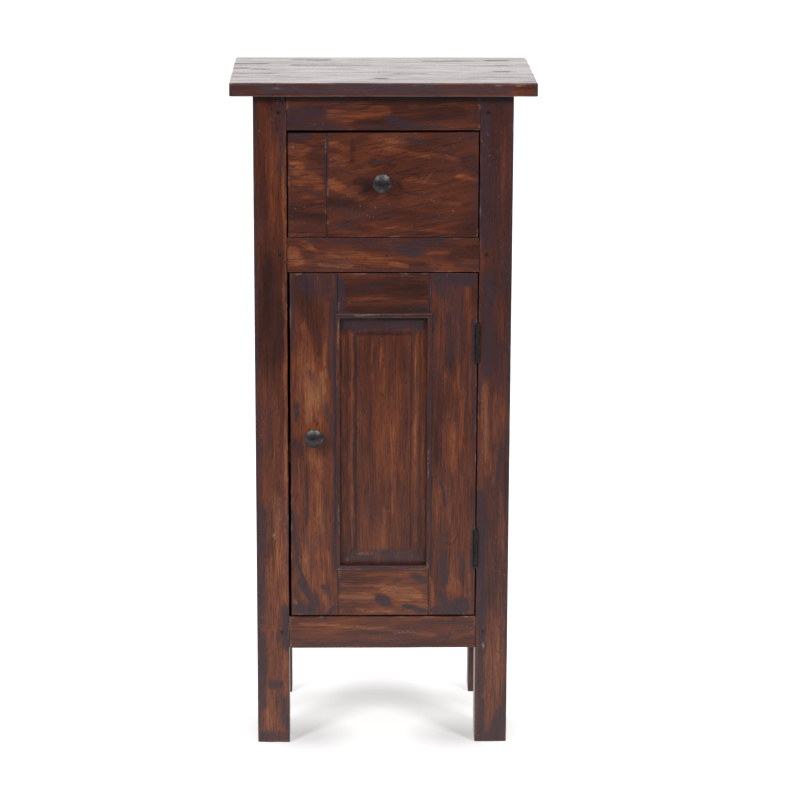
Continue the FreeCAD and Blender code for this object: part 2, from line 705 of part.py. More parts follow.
def cut_sockets(front, side):
    """Blind sockets in the back of the drawer front, one for each tail."""
    low, high = across(side, "drawer_inner_half - glue_line", "drawer_half")
    start = f"{low} - ({front.corner[0]})"
    lift = "side_low - drawer_low"
    y_root, y_end = "drawer_front_thickness", "drawer_lap - glue_line"
    for root_low, root_high, end_low, end_high in tails("glue_line"):
        outline = [
            (y_root, f"{root_low} + {lift}"),
            (y_root, f"{root_high} + {lift}"),
            (y_end, f"{end_high} + {lift}"),
            (y_end, f"{end_low} + {lift}"),
        ]
        drawing = front.sketch("YZ_Plane", outline, "socket_outline", offset=start)
        socket = front.feature("PartDesign::Pocket", "socket")
        socket.Profile = drawing
        socket.Reversed = True
        bind(socket, Length=f"{high} - ({low})")


# Knobs


def make_knob(label, x, z, wood, piece):
    """A turned mushroom knob on the front face, and the bolt that holds it from behind."""
    knob = Piece(label, (x, "face", z))
    bulge = "knob_rim / 4"
    rim = f"knob_diameter / 2 - {bulge}"
    points = [
        ("0", "knob_bolt / 2"),
        ("0", "knob_foot / 2"),
        ("-knob_neck_height", "knob_neck / 2"),
        ("-knob_projection + knob_crown + knob_rim", rim),
        ("-knob_projection + knob_crown", rim),
        ("-knob_projection", "0"),
        ("-knob_bolt_depth", "0"),
        ("-knob_bolt_depth", "knob_bolt / 2"),
    ]
    arcs = {
        1: ("knob_foot_sweep", -1),
        2: ("knob_head_sweep", -1),
        3: (f"(knob_rim ^ 2 / 4 + ({bulge}) ^ 2) / (2 * {bulge})", 1),
        4: (f"(({rim}) ^ 2 + knob_crown ^ 2) / (2 * knob_crown)", 1),
    }
    section = knob.sketch("YZ_Plane", points, "section", arcs)
    turned = knob.feature("PartDesign::Revolution", "turned")
    turned.Profile = section
    turned.ReferenceAxis = (knob.datums["Y_Axis"], [""])
    turned.Angle = 360
    foot = (x, f"face + {wood}", z)
    bolt = Piece(f"{label}_bolt", foot)
    bolt.rod(foot, "-y", "knob_bolt / 2 - glue_line", f"{wood} + knob_bolt_depth - glue_line", "shank")
    bolt.rod(foot, "+y", "knob_bolt_head / 2", "knob_bolt_head_height", "head")
    piece.drill(foot, "-y", "knob_bolt / 2 + glue_line", wood, "bolt_hole")


# Door


def make_door():
    """Tenoned frame, raised panel, mitred bead and knob. Gives the latch stile and the hinge stile."""
    spans = (("left", "door_left", "frame_left"), ("right", "frame_right", "door_right"))
    stiles = [
        board(f"door_stile_{name}", (low, "face", "door_low"), (high, "door_rear", "door_high"), "door_ease")
        for name, low, high in spans
    ]
    rails = (
        ("top", "frame_high", "door_high", "frame_high + door_groove", "door_high - door_haunch"),
        ("bottom", "door_low", "frame_low", "door_low + door_haunch", "frame_low - door_groove"),
    )
    y_low, y_high = "tongue_front - glue_line", "tongue_rear + glue_line"
    for name, low, high, tenon_low, tenon_high in rails:
        span = ("frame_left", "face", low), ("frame_right", "door_rear", high)
        rail = board(f"door_rail_{name}", *span, "door_ease", keep=("left", "right"))
        for stile, shoulder, tip in zip(stiles, ("frame_left", "frame_right"), (-1, 1)):
            for shape, play, word in ((rail.add, "0", "tenon"), (stile.cut, "glue_line", "mortise")):
                x_low, x_high = [shoulder, f"{shoulder} + {tip} * (door_tenon_length + {play})"][::tip]
                shape(
                    (x_low, f"tongue_front - {play}", f"{tenon_low} - {play}"),
                    (x_high, f"tongue_rear + {play}", f"{tenon_high} + {play}"),
                    word,
                )
        z_low, z_high = (low, tenon_low) if name == "top" else (tenon_high, high)
        rail.cut(("frame_left", y_low, z_low), ("frame_right", y_high, z_high), "groove")
    z_low, z_high = "frame_low - door_groove", "frame_high + door_groove"
    grooves = (("frame_left - door_groove", "frame_left"), ("frame_right", "frame_right + door_groove"))
    for stile, (x_low, x_high) in zip(stiles, grooves):
        stile.cut((x_low, y_low, z_low), (x_high, y_high, z_high), "groove")
    make_raised_panel()
    make_bead()
    height = "(door_low + door_high) / 2 + door_knob_rise"
    make_knob("door_knob", "latch_stile_middle", height, "door_thickness", stiles[0])
    return stiles


def make_raised_panel():
    """A tongue in the frame's groove, a border that slopes up to a small step, and the flat field."""
    tongue = "door_groove - panel_play"
    wide = f"frame_right - frame_left + 2 * ({tongue})"
    tall = f"frame_high - frame_low + 2 * ({tongue})"
    rise = "door_tenon_setback - field_setback"
    piece = Piece("door_panel", (f"frame_left - ({tongue})", "tongue_front", f"frame_low - ({tongue})"))

    def rectangle(inset, word, lift="0"):
        right, high = f"{wide} - ({inset})", f"{tall} - ({inset})"
        corners = [(inset, inset), (right, inset), (right, high), (inset, high)]
        return piece.sketch("XZ_Plane", corners, word, offset=lift)

    piece.pad(rectangle("0", "tongue_outline"), "door_tenon_thickness", "tongue", reverse=True)
    foot = rectangle(f"{tongue} + glue_line", "border_foot")
    brink = rectangle(f"{tongue} + field_border", "border_brink", f"{rise} - field_step")
    border = piece.feature("PartDesign::AdditiveLoft", "border")
    border.Profile = foot
    border.Sections = [brink]
    border.Ruled = True
    piece.pad(rectangle(f"{tongue} + field_border", "field_outline"), rise, "field")


def make_bead():
    """Four mitred strips, half on the frame and half down inside it, rounded along their length."""
    half = "bead_width / 2"
    low_left, high_left = ("frame_left", "frame_low"), ("frame_left", "frame_high")
    low_right, high_right = ("frame_right", "frame_low"), ("frame_right", "frame_high")
    strips = (
        ("left", low_left, high_left, (1, 0), (0, 1)),
        ("right", low_right, high_right, (-1, 0), (0, 1)),
        ("bottom", low_left, low_right, (0, 1), (1, 0)),
        ("top", high_left, high_right, (0, -1), (1, 0)),
    )
    for name, first, last, inward, along in strips:

        def mitred(outer, inner):
            """Corners of a strip between two lines, both measured inward from the frame's edge."""
            round_trip = (first, 1, outer), (last, -1, outer), (last, -1, inner), (first, 1, inner)
            return [
                [f"{base[n]} + ({reach}) * {inward[n] + tip * along[n]}" for n in (0, 1)]
                for base, tip, reach in round_trip
            ]

        piece = Piece(f"door_bead_{name}", ("0", "face", "0"))
        piece.pad(piece.sketch("XZ_Plane", mitred(f"-{half}", half), "cap_outline"), "bead_rise", "cap")
        cap = piece.body.Tip
        cap.recompute(True)
        front = cap.Shape.BoundBox.YMin
        edges = [
            f"Edge{n}"
            for n, edge in enumerate(cap.Shape.Edges, start=1)
            if all(abs(corner.Point.y - front) < TINY for corner in edge.Vertexes)
            and abs(edge.tangentAt(edge.FirstParameter).dot(V(along[0], 0, along[1]))) > 1 - TINY
        ]
        piece.fillet(cap, edges, "bead_round")
        tail = piece.sketch("XZ_Plane", mitred("glue_line", half), "tail_outline")
        piece.pad(tail, "bead_tail", "tail", reverse=True)


# Hinges and catch


def make_hinges(leg, stile):
    """Two butt hinges on one vertical line, their leaves let into the leg and the door."""
    pins = []
    screws = {"frame": [], "door": []}
    for level, middle in (("lower", "door_low + hinge_inset"), ("upper", "door_high - hinge_inset")):
        low = f"{middle} - hinge_length / 2"
        for owner, side, wood in (("frame", 1, leg), ("door", -1, stile)):
            leaf = make_leaf(f"{level}_hinge_{owner}_leaf", owner, side, low)
            seat_leaf(wood, side, low)
            for n, setback in ((-1, "screw_near"), (0, "screw_far"), (1, "screw_near")):
                x = f"pin_x + {side} * hinge_leaf_gap / 2"
                foot = (x, f"face + {setback}", f"{middle} + {n} * screw_spacing")
                label = f"{level}_{owner}_screw_{n + 1}"
                axis = "+x" if side > 0 else "-x"
                screws[owner].append(screw(label, foot, axis, "screw_length", leaf, wood))
        pin = doc.addObject("Part::Cylinder", f"{level}_pin")
        bind(pin, Radius="pin_diameter / 2", Height="hinge_length + 2 * pin_stand")
        bind(pin, place=("pin_x", "pin_y", f"{low} - pin_stand"))
        pins.append(pin)
    group("hinge_pins", pins)
    group("hinge_screws_frame", screws["frame"])
    group("hinge_screws_door", screws["door"])


def leaf_span(side):
    """(low, high) along X of a leaf, which stands off the pin's middle by half the gap between leaves."""
    near = f"pin_x + {side} * hinge_leaf_gap / 2"
    return [near, f"{near} + {side} * hinge_leaf_thickness"][::side]


def make_leaf(label, owner, side, low):
    """A plate with every other knuckle of the barrel, cut back round the other leaf's knuckles."""
    pitch = f"(hinge_length + knuckle_gap) / {KNUCKLES}"
    x_low, x_high = leaf_span(side)
    leaf = Piece(label, (x_low, "pin_y", low))
    leaf.add((x_low, "pin_y", low), (x_high, "pin_y + hinge_leaf_width", f"{low} + hinge_length"), "plate")
    first = 0 if owner == "frame" else 1
    for n in range(KNUCKLES):
        start = f"{low} + {n} * {pitch}"
        if n % 2 == first:
            foot = ("pin_x", "pin_y", start)
            leaf.rod(foot, "+z", "knuckle_diameter / 2", f"{pitch} - knuckle_gap", "knuckle")
        else:
            foot = ("pin_x", "pin_y", f"{start} - knuckle_gap")
            leaf.drill(foot, "+z", "knuckle_diameter / 2 + knuckle_gap", f"{pitch} + knuckle_gap", "gap")
    play = "pin_fit" if owner == "frame" else "pin_play"
    leaf.drill(("pin_x", "pin_y", low), "+z", f"pin_diameter / 2 + {play}", "hinge_length", "bore")
    return leaf


def seat_leaf(wood, side, low):
    """A shallow mortise for the leaf, and a round notch that lets the barrel turn."""
    x_low, x_high = leaf_span(side)
    x_low, x_high = ("pin_x", x_high) if side > 0 else (x_low, "pin_x")
    wood.cut(
        (x_low, "pin_y", f"{low} - glue_line"),
        (x_high, "pin_y + hinge_leaf_width + glue_line", f"{low} + hinge_length + glue_line"),
        "leaf_seat",
    )
    past = "pin_stand + barrel_play"
    foot = ("pin_x", "pin_y", f"{low} - ({past})")
    radius = "knuckle_diameter / 2 + barrel_play"
    wood.drill(foot, "+z", radius, f"hinge_length + 2 * ({past})", "barrel_notch")


def make_catch(stile):
    """A block behind the middle rail stops the door; a magnet in it holds a steel disc on the door."""
    x, y, z = "latch_stile_middle", "door_rear + catch_gap", "catch_height"
    left, right = f"{x} - stop_block_width / 2", f"{x} + stop_block_width / 2"
    low = "under_mid_rail - stop_block_drop"
    block = Piece("door_stop_block", (left, y, low))
    block.add((left, y, low), (right, "inner_front", "under_mid_rail - board_play"), "nose")
    block.add(
        (left, "inner_front", low),
        (right, "inner_front + stop_block_thickness", "under_mid_rail + mid_rail_height / 2"),
        "block",
    )
    block.drill((x, y, z), "+y", "magnet_diameter / 2 + glue_line", "magnet_depth + glue_line", "magnet_seat")
    magnet = Piece("catch_magnet", (x, y, z))
    magnet.rod((x, y, z), "+y", "magnet_diameter / 2", "magnet_depth", "disc")
    seat = (x, "door_rear", z)
    strike = Piece("catch_strike", seat)
    strike.rod(seat, "-y", "strike_diameter / 2", "strike_depth", "disc")
    stile.drill(seat, "-y", "strike_diameter / 2 + glue_line", "strike_depth + glue_line", "strike_seat")


def make_table():
    """Every piece, from the legs outward."""
    legs = make_legs()
    top, bottom = ("under_top_rail", "leg_height"), ("floor_clearance", "top_of_bottom_rail")
    make_cross_rail("front_top_rail", legs, -1, *top)
    make_cross_rail("front_mid_rail", legs, -1, "under_mid_rail", "top_of_mid_rail")
    make_cross_rail("front_bottom_rail", legs, -1, *bottom)
    upper = make_cross_rail("back_top_rail", legs, 1, *top)
    lower = make_cross_rail("back_bottom_rail", legs, 1, *bottom)
    make_back_panel(legs, upper, lower)
    for name, side in SIDES:
        upper = make_side_rail(f"{name}_side_top_rail", legs, side, *top)
        lower = make_side_rail(f"{name}_side_bottom_rail", legs, side, *bottom)
        make_side_panel(f"{name}_side_panel", legs, side, upper, lower)
    group("joint_pegs", pegs)
    make_cupboard_inside()
    make_drawer_ways()
    make_top()
    make_drawer()
    latch_stile, hinge_stile = make_door()
    make_hinges(legs[1, -1], hinge_stile)
    make_catch(latch_stile)


make_table()
doc.recompute()
faults = [f"{thing.Name}: {thing.State}" for thing in doc.Objects if {"Invalid", "Error"} & set(thing.State)]
for node in nodes:
    if node.Shape.isNull() or not node.Shape.isValid():
        faults.append(f"{node.Label}: no valid shape")
if faults:
    raise SystemExit("\n".join(faults))
os.makedirs("parts", exist_ok=True)
for node in nodes:
    node.Shape.exportStep(f"parts/{node.Label}.step")
print(len(nodes), "nodes written")
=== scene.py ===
"""The looks of a storage side table in stained, worn hardwood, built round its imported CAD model.

Places and sizes are in millimetres until a mesh is made. +Z is up and the front faces -Y.
"""

import math

import bpy
import numpy as np
from bpy.props import FloatProperty, FloatVectorProperty, PointerProperty
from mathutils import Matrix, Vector


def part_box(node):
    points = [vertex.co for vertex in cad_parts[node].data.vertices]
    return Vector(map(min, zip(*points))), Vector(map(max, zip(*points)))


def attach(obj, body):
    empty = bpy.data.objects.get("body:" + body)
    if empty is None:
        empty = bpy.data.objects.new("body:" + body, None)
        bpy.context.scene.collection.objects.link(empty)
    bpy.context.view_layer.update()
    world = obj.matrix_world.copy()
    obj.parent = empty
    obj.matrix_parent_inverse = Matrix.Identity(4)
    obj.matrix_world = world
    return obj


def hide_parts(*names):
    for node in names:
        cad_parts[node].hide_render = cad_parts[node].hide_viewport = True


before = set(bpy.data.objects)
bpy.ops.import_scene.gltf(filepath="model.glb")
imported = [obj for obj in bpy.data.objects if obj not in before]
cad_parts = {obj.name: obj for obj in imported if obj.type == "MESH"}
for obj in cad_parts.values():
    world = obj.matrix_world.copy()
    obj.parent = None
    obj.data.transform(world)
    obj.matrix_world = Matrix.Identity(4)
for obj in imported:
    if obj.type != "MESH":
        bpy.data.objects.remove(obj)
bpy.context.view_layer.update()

bl_info = {
    "name": "Storage side table",
    "version": (1, 0, 0),
    "blender": (4, 5, 0),
    "location": "3D View > Sidebar > Side table",
    "description": "Dresses the side table's solids in worn, stained wood, and sets up its stage",
    "category": "Object",
}

MM = 0.001
X, Y, Z = range(3)
WHITE = (1, 1, 1, 1)


# Numbers


def linear(colour):
    """An sRGB hex colour as linear red, green, blue and alpha."""
    parts = [int(colour[n : n + 2], 16) / 255 for n in (0, 2, 4)]
    return [c / 12.92 if c <= 0.04045 else ((c + 0.055) / 1.055) ** 2.4 for c in parts] + [1.0]


def span(node):
    """Lowest and highest corner of a CAD node, in millimetres."""
    low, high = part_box(node)
    return np.array(low) / MM, np.array(high) / MM


def drift(points, cell, seed):
    """Smooth noise from -1 to 1: random numbers at the corners of cells, blended by s * s * (3 - 2 * s)."""
    table = np.random.default_rng(seed).uniform(-1, 1, (32, 32, 32))
    place = points / cell
    base = np.floor(place).astype(int)
    share = place - base
    share = share * share * (3 - 2 * share)
    total = np.zeros(len(points))
    for corner in np.ndindex(2, 2, 2):
        weight = np.prod(np.where(corner, share, 1 - share), axis=1)
        i, j, k = ((base + corner) % 32).T
        total += weight * table[i, j, k]
    return total


def ease(low, high, x):
    """0 up to low, 1 from high, and a smooth rise between them."""
    share = np.clip((x - low) / (high - low), 0, 1)
    return share * share * (3 - 2 * share)


# Points of a mesh line closer than this to the one before are left out
CLOSEST = 0.03


def steps(low, high, step, radius=0.0, extra=()):
    """Coordinates from low to high, at most step apart, closer over the rounding at both ends."""
    turn = radius * (1 - np.tan(np.radians([45, 30, 15, 0])))
    middle = np.linspace(low + radius, high - radius, max(2, int((high - low) / step) + 1))
    places = np.unique(np.round(np.concatenate([low + turn, middle, high - turn, extra]), 4))
    return places[np.concatenate([[True], np.diff(places) > CLOSEST])]


# Meshes


def lattice(xs, ys, zs):
    """The six sides of a box, each a grid of two of the three coordinates, welded along the box's edges."""
    shape = len(xs), len(ys), len(zs)
    quads = []
    for axis in range(3):
        u, v = [n for n in range(3) if n != axis]
        i, j = np.meshgrid(np.arange(shape[u] - 1), np.arange(shape[v] - 1), indexing="ij")
        for end in (0, 1):
            index = np.zeros((3, 4, i.size), int)
            index[axis] = end * (shape[axis] - 1)
            index[u] = i.ravel() + np.array([0, 1, 1, 0])[:, None]
            index[v] = j.ravel() + np.array([0, 0, 1, 1])[:, None]
            corners = np.ravel_multi_index(index, shape)
            flip = (end == 0) != (axis == Y)
            quads.append((corners[::-1] if flip else corners).T)
    used, quads = np.unique(np.concatenate(quads), return_inverse=True)
    i, j, k = np.unravel_index(used, shape)
    return np.stack([xs[i], ys[j], zs[k]], 1), quads.reshape(-1, 4).tolist()


def rounded(points, low, high, radius):
    """Points of a box's sides drawn in to its rounded form: the nearest point of the box less the radius,
    plus the radius in the direction from there to the point."""
    radius = radius[:, None]
    inner = np.clip(points, low + radius, high - radius)
    away = points - inner
    length = np.linalg.norm(away, axis=1, keepdims=True)
    return inner + radius * away / np.maximum(length, 1e-9)


def turned(profile, centre, count=64):
    """A profile of (radius, height) turned about the axis that runs from centre towards -Y: each point goes
    round a circle. The first and last points lie on the axis and close the ends."""
    radius, height = np.array(profile, float).T
    angle = np.linspace(0, 2 * math.pi, count, endpoint=False)
    inner = slice(1, -1)
    x = centre[X] + radius[inner, None] * np.cos(angle)
    z = centre[Z] + radius[inner, None] * np.sin(angle)
    y = np.broadcast_to(centre[Y] - height[inner, None], x.shape)
    tips = [[centre[X], centre[Y] - height[end], centre[Z]] for end in (0, -1)]
    points = np.concatenate([np.stack([x, y, z], -1).reshape(-1, 3), tips])
    n = np.arange(count)
    after = (n + 1) % count
    last = len(profile) - 3
    faces = []
    for row in range(last):
        a, b = row * count, (row + 1) * count
        faces += np.stack([a + n, a + after, b + after, b + n], 1).tolist()
    first_tip, last_tip = len(points) - 2, len(points) - 1
    faces += np.stack([np.full(count, first_tip), after, n], 1).tolist()
    faces += np.stack([np.full(count, last_tip), last * count + n, last * count + after], 1).tolist()
    return points, faces


def dress(made, material):
    made.data.materials.clear()
    made.data.materials.append(material)


def piece(name, body, slot, shells, material, marks=None, smooth=40):
    """One object from closed shells of (points, faces), in place of the CAD node of its name, riding on a
    body. Marks are kept as an attribute. Edges that turn by more than smooth degrees stay sharp."""
    points, faces, count = [], [], 0
    for shell, sides in shells:
        points.append(shell)
        faces += [[corner + count for corner in side] for side in sides]
        count += len(shell)
    mesh = bpy.data.meshes.new(name)
    mesh.from_pydata((np.concatenate(points) * MM).tolist(), [], faces)
    mesh.validate()
    made = bpy.data.objects.new(name, mesh)
    bpy.context.scene.collection.objects.link(made)
    if slot == "stained_wood":
        marks = np.zeros((count, 4)) if marks is None else np.clip(marks, 0, 1)
        stains = mesh.attributes.new("marks", "FLOAT_COLOR", "POINT")
        stains.data.foreach_set("color", marks.astype(np.float32).ravel())
    mesh.shade_smooth()
    mesh.set_sharp_from_angle(angle=math.radians(smooth))
    dress(made, material)
    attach(made, body)
    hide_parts(name)


# Marks of age, painted

# Bluish-black stain, worn orange stain, deep stain and pale rubbing. Some of their strokes are painted light
# and shade instead: shadows of the knobs and of the top, shade in the creases of the panel and bead,
# highlights on the bead, and light on the lower legs.
SOOT_AND_SHADE, WARM_AND_LIT, DEEP_AND_SHADE, PALE_AND_HIGHLIGHT = range(4)


def painted(points, strokes, plane, depth, grain, wander, seed):
    """How much of each mark every point has. Each mark has its strokes, (strength, brush radius, x, z, x, z
    ...): a point takes one by its distance to that line, counted at half along the grain, where stain runs
    further. Smooth noise moves the points first, and depth fades a stroke out behind the face it is on."""
    amounts = np.zeros((len(points), 4))
    squash = np.where(np.array(plane) == grain, 0.5, 1.0)
    shift = np.stack([drift(points, 17.0, seed + 1), drift(points, 17.0, seed + 2)], 1) * wander
    shift += np.stack([drift(points, 5.0, seed + 3), drift(points, 5.0, seed + 4)], 1) * wander * 0.4
    flat = (points[:, plane] + shift) * squash
    for mark, lines in dict(strokes).items():
        for strength, brush, *line in lines:
            line = np.array(line, float).reshape(-1, 2) * squash
            near = np.full(len(flat), np.inf)
            for a, b in zip(line[:-1], line[1:]) if len(line) > 1 else [(line[0], line[0])]:
                along = np.dot(b - a, b - a)
                t = np.clip((flat - a) @ (b - a) / along, 0, 1)[:, None] if along else 0
                near = np.minimum(near, np.linalg.norm(flat - a - t * (b - a), axis=1))
            amount = strength * (1 - ease(0.3, 1.35, near / brush)) * depth
            amounts[:, mark] = np.maximum(amounts[:, mark], amount)
    return amounts


NO_LINES = ((), (), ())


def board(name, body, low, high, material, grain, seed, radius, step, strokes=(), top_strokes=(),
          dark_edges=0.5, extra=NO_LINES, form=None, tenons=(), wander=2.2, uneven=0.12, seams=()):
    """A board with worn arrises: a box rounded by a radius that changes along its edges, its faces a little
    uneven. Its marks are the strokes, dark stain held at the arrises, and bare spots worn on them. The
    grain is the axis it runs along, extra the coordinates that its mesh has to follow, and seams are the
    places in Y of its edges that are glued to another board."""
    axes = []
    for axis in range(3):
        size = high[axis] - low[axis]
        apart = step * (2 if axis == grain else 1)
        axes.append(steps(low[axis], high[axis], apart, min(radius, size / 2.2), extra[axis]))
    flat, quads = lattice(*axes)
    to_edge = np.sort(np.minimum(flat - low, high - flat), axis=1)[:, 1]
    # the rounding: wider and narrower along the edges, none at a seam
    worn = radius * (0.85 + 0.7 * (drift(flat, 34.0, seed) * 0.5 + drift(flat, 11.0, seed + 9) * 0.35))
    for seam in seams:
        worn *= ease(2.0, 8.0, np.abs(flat[:, Y] - seam))
    points = rounded(flat, low, high, np.clip(worn, 0.25, np.min(high - low) / 2.05))
    # the faces, moved in by their unevenness, so that they stay near or below the box's own
    lift = uneven * (drift(flat, 46.0, seed + 20) + 0.5 * drift(flat, 13.0, seed + 21))
    outward = np.where(flat <= low + 1e-6, -1.0, np.where(flat >= high - 1e-6, 1.0, 0.0))
    outward /= np.maximum(np.linalg.norm(outward, axis=1, keepdims=True), 1e-9)
    points += outward * (lift - uneven)[:, None]
    if form:
        points = form(points)
    # the strokes: those of the front down to 6 mm behind it, those of the top down to 2 mm
    depth = 1 - ease(1.5, 6.0, flat[:, Y] - low[Y])
    marks = painted(flat, strokes, [X, Z], depth, grain, wander, seed)
    if top_strokes:
        depth = 1 - ease(0.3, 2.0, high[Z] - flat[:, Z])
        marks = np.maximum(marks, painted(flat, top_strokes, [X, Y], depth, grain, wander, seed))
    # dark stain at the arrises, in patches, and bare spots closer to them
    edge = np.exp(-((to_edge / 2.4) ** 2))
    for seam in seams:
        edge *= ease(0.0, 8.0, np.abs(flat[:, Y] - seam))
    patchy = ease(-0.35, 0.55, drift(flat, 27.0, seed + 30))
    marks[:, SOOT_AND_SHADE] = np.maximum(marks[:, SOOT_AND_SHADE], dark_edges * edge * (0.35 + 0.65 * patchy))
    bare = ease(0.35, 0.75, drift(flat, 14.0, seed + 31)) * np.exp(-((to_edge / 1.1) ** 2))
    marks[:, PALE_AND_HIGHLIGHT] = np.maximum(marks[:, PALE_AND_HIGHLIGHT], 0.55 * bare)
    shells = [(points, quads)]
    for corners in tenons:
        tenon = lattice(*np.stack(corners, 1))
        shells.append(tenon)
        marks = np.concatenate([marks, np.zeros((len(tenon[0]), 4))])
    piece(name, body, "stained_wood", shells, material, marks)


# How far the shell of a tenon reaches into the rail's
TENON_LAP = 0.5


def between(low, high, axis, ends):
    """A box's corners, with its ends moved on one axis."""
    low, high = low.copy(), high.copy()
    low[axis], high[axis] = ends
    return low, high


def tenoned(low, high, axis, shoulders, inset_low, inset_high):
    """A rail's box between its shoulders, and the boxes of its tenons, set in by what is cut off them."""
    tips = (low[axis], shoulders[0] + TENON_LAP), (shoulders[1] - TENON_LAP, high[axis])
    tenons = [between(low + inset_low, high - inset_high, axis, tip) for tip in tips]
    return *between(low, high, axis, shoulders), tenons


# Radius of the hollow round a hinge barrel, and half the hollow's length
HOLLOW = 3.6
HOLLOW_HALF = 26.6


def pin_line():
    """(x, y) of the hinge pins, and the middles of the hinges along Z."""
    low, high = span("hinge_pins")
    leaves = [span(f"{level}_hinge_frame_leaf") for level in ("lower", "upper")]
    return (low[:2] + high[:2]) / 2, [(leaf_low[Z] + leaf_high[Z]) / 2 for leaf_low, leaf_high in leaves]


def clear_of_barrels(points):
    """Points inside a cylinder round the pin, along each hinge, go straight out to its wall."""
    (x, y), middles = pin_line()
    away = points[:, :2] - (x, y)
    reach = np.linalg.norm(away, axis=1)
    beside = np.min(np.abs(points[:, 2, None] - np.array(middles)), axis=1) < HOLLOW_HALF
    inside = beside & (reach < HOLLOW)
    out = points.copy()
    out[inside, :2] = (x, y) + away[inside] / np.maximum(reach[inside, None], 1e-6) * HOLLOW
    return out


def hollowed():
    """What hollows a board round the hinge barrels: the lines of its mesh, and the change of its form."""
    (x, y), middles = pin_line()
    rims = [middle + tip * HOLLOW_HALF for middle in middles for tip in (-1, 1)]
    ends = [rim + near for rim in rims for near in (-0.05, 0.05)]
    beside = np.arange(x - 5, x + 5.1, 0.5), np.arange(y, y + 5.1, 0.5)
    return {"extra": (*beside, ends), "form": clear_of_barrels}


# Materials


def add(tree, kind, inputs=(), **settings):
    """A node of a kind, with its settings. Each input, known by its name or its place, gets a value, or a
    link from another node's socket, the first one where the node itself is given. A map range takes its
    value, the range it comes from, and the range it goes to, which is 0 to 1 where none is given."""
    made = tree.nodes.new("ShaderNode" + kind)
    for name, setting in settings.items():
        setattr(made, name, setting)
    for key, given in dict(inputs).items():
        if isinstance(given, bpy.types.Node):
            given = given.outputs[0]
        if isinstance(given, bpy.types.NodeSocket):
            tree.links.new(given, made.inputs[key])
        else:
            made.inputs[key].default_value = given
    return made


# Places of a colour mix's inputs and of its output: their names repeat
SHARE, UNDER, OVER = 0, 6, 7
MIXED = 2


def new_material(name):
    material = bpy.data.materials.new(name)
    material.use_nodes = True
    material.node_tree.nodes.clear()
    return material, material.node_tree


# Degrees that turn each axis to X
TURN = {X: (0, 0, 0), Y: (0, 0, -90), Z: (0, 90, 0)}


def wood_place(tree, grain, seed, tilt=0.0):
    """Object coordinates in millimetres, turned so that the grain runs along X, tilted about Y by some
    degrees, and moved by the seed so that no two boards are cut from one place."""
    turn = np.radians(TURN[grain]) + np.array([0, math.radians(tilt), 0])
    return add(tree, "Mapping", {
        "Vector": add(tree, "TexCoord").outputs["Object"],
        "Location": (seed * 137.0, seed * 61.0, seed * 29.0),
        "Rotation": turn.tolist(),
        "Scale": (1 / MM,) * 3,
    })


def wandering(tree, place, cell, amount):
    """The place shifted by smooth noise, so that the grain's lines wander as they do in a real board."""
    cells = add(tree, "VectorMath", {0: place, 1: (0.35 / cell, 1 / cell, 1 / cell)}, operation="MULTIPLY")
    noise = add(tree, "TexNoise", {"Vector": cells, "Scale": 1.0, "Detail": 2.0})
    centred = add(tree, "VectorMath", {0: noise.outputs["Color"], 1: (0.5, 0.5, 0.5)}, operation="SUBTRACT")
    shift = add(tree, "VectorMath", {0: centred, 1: (0, amount, amount)}, operation="MULTIPLY")
    return add(tree, "VectorMath", {0: place, 1: shift}, operation="ADD")


def streaks(tree, place, length, width, detail=4.0, roughness=0.6):
    """Noise drawn out along the grain: length and width of a streak in millimetres."""
    cells = add(tree, "VectorMath", {0: place, 1: (1 / length, 1 / width, 1 / width)}, operation="MULTIPLY")
    return add(tree, "TexNoise", {"Vector": cells, "Scale": 1.0, "Detail": detail, "Roughness": roughness})


def torn(tree, amount, fibre):
    """A mark's amount with its edge torn along the grain: the fibre is added, and the sum drawn apart."""
    ragged = add(tree, "Math", {0: fibre, 1: 1.7, 2: -0.85}, operation="MULTIPLY_ADD")
    total = add(tree, "Math", {0: amount, 1: ragged}, operation="ADD")
    return add(tree, "MapRange", {0: total, 1: 0.16, 2: 0.88}, interpolation_type="SMOOTHSTEP")


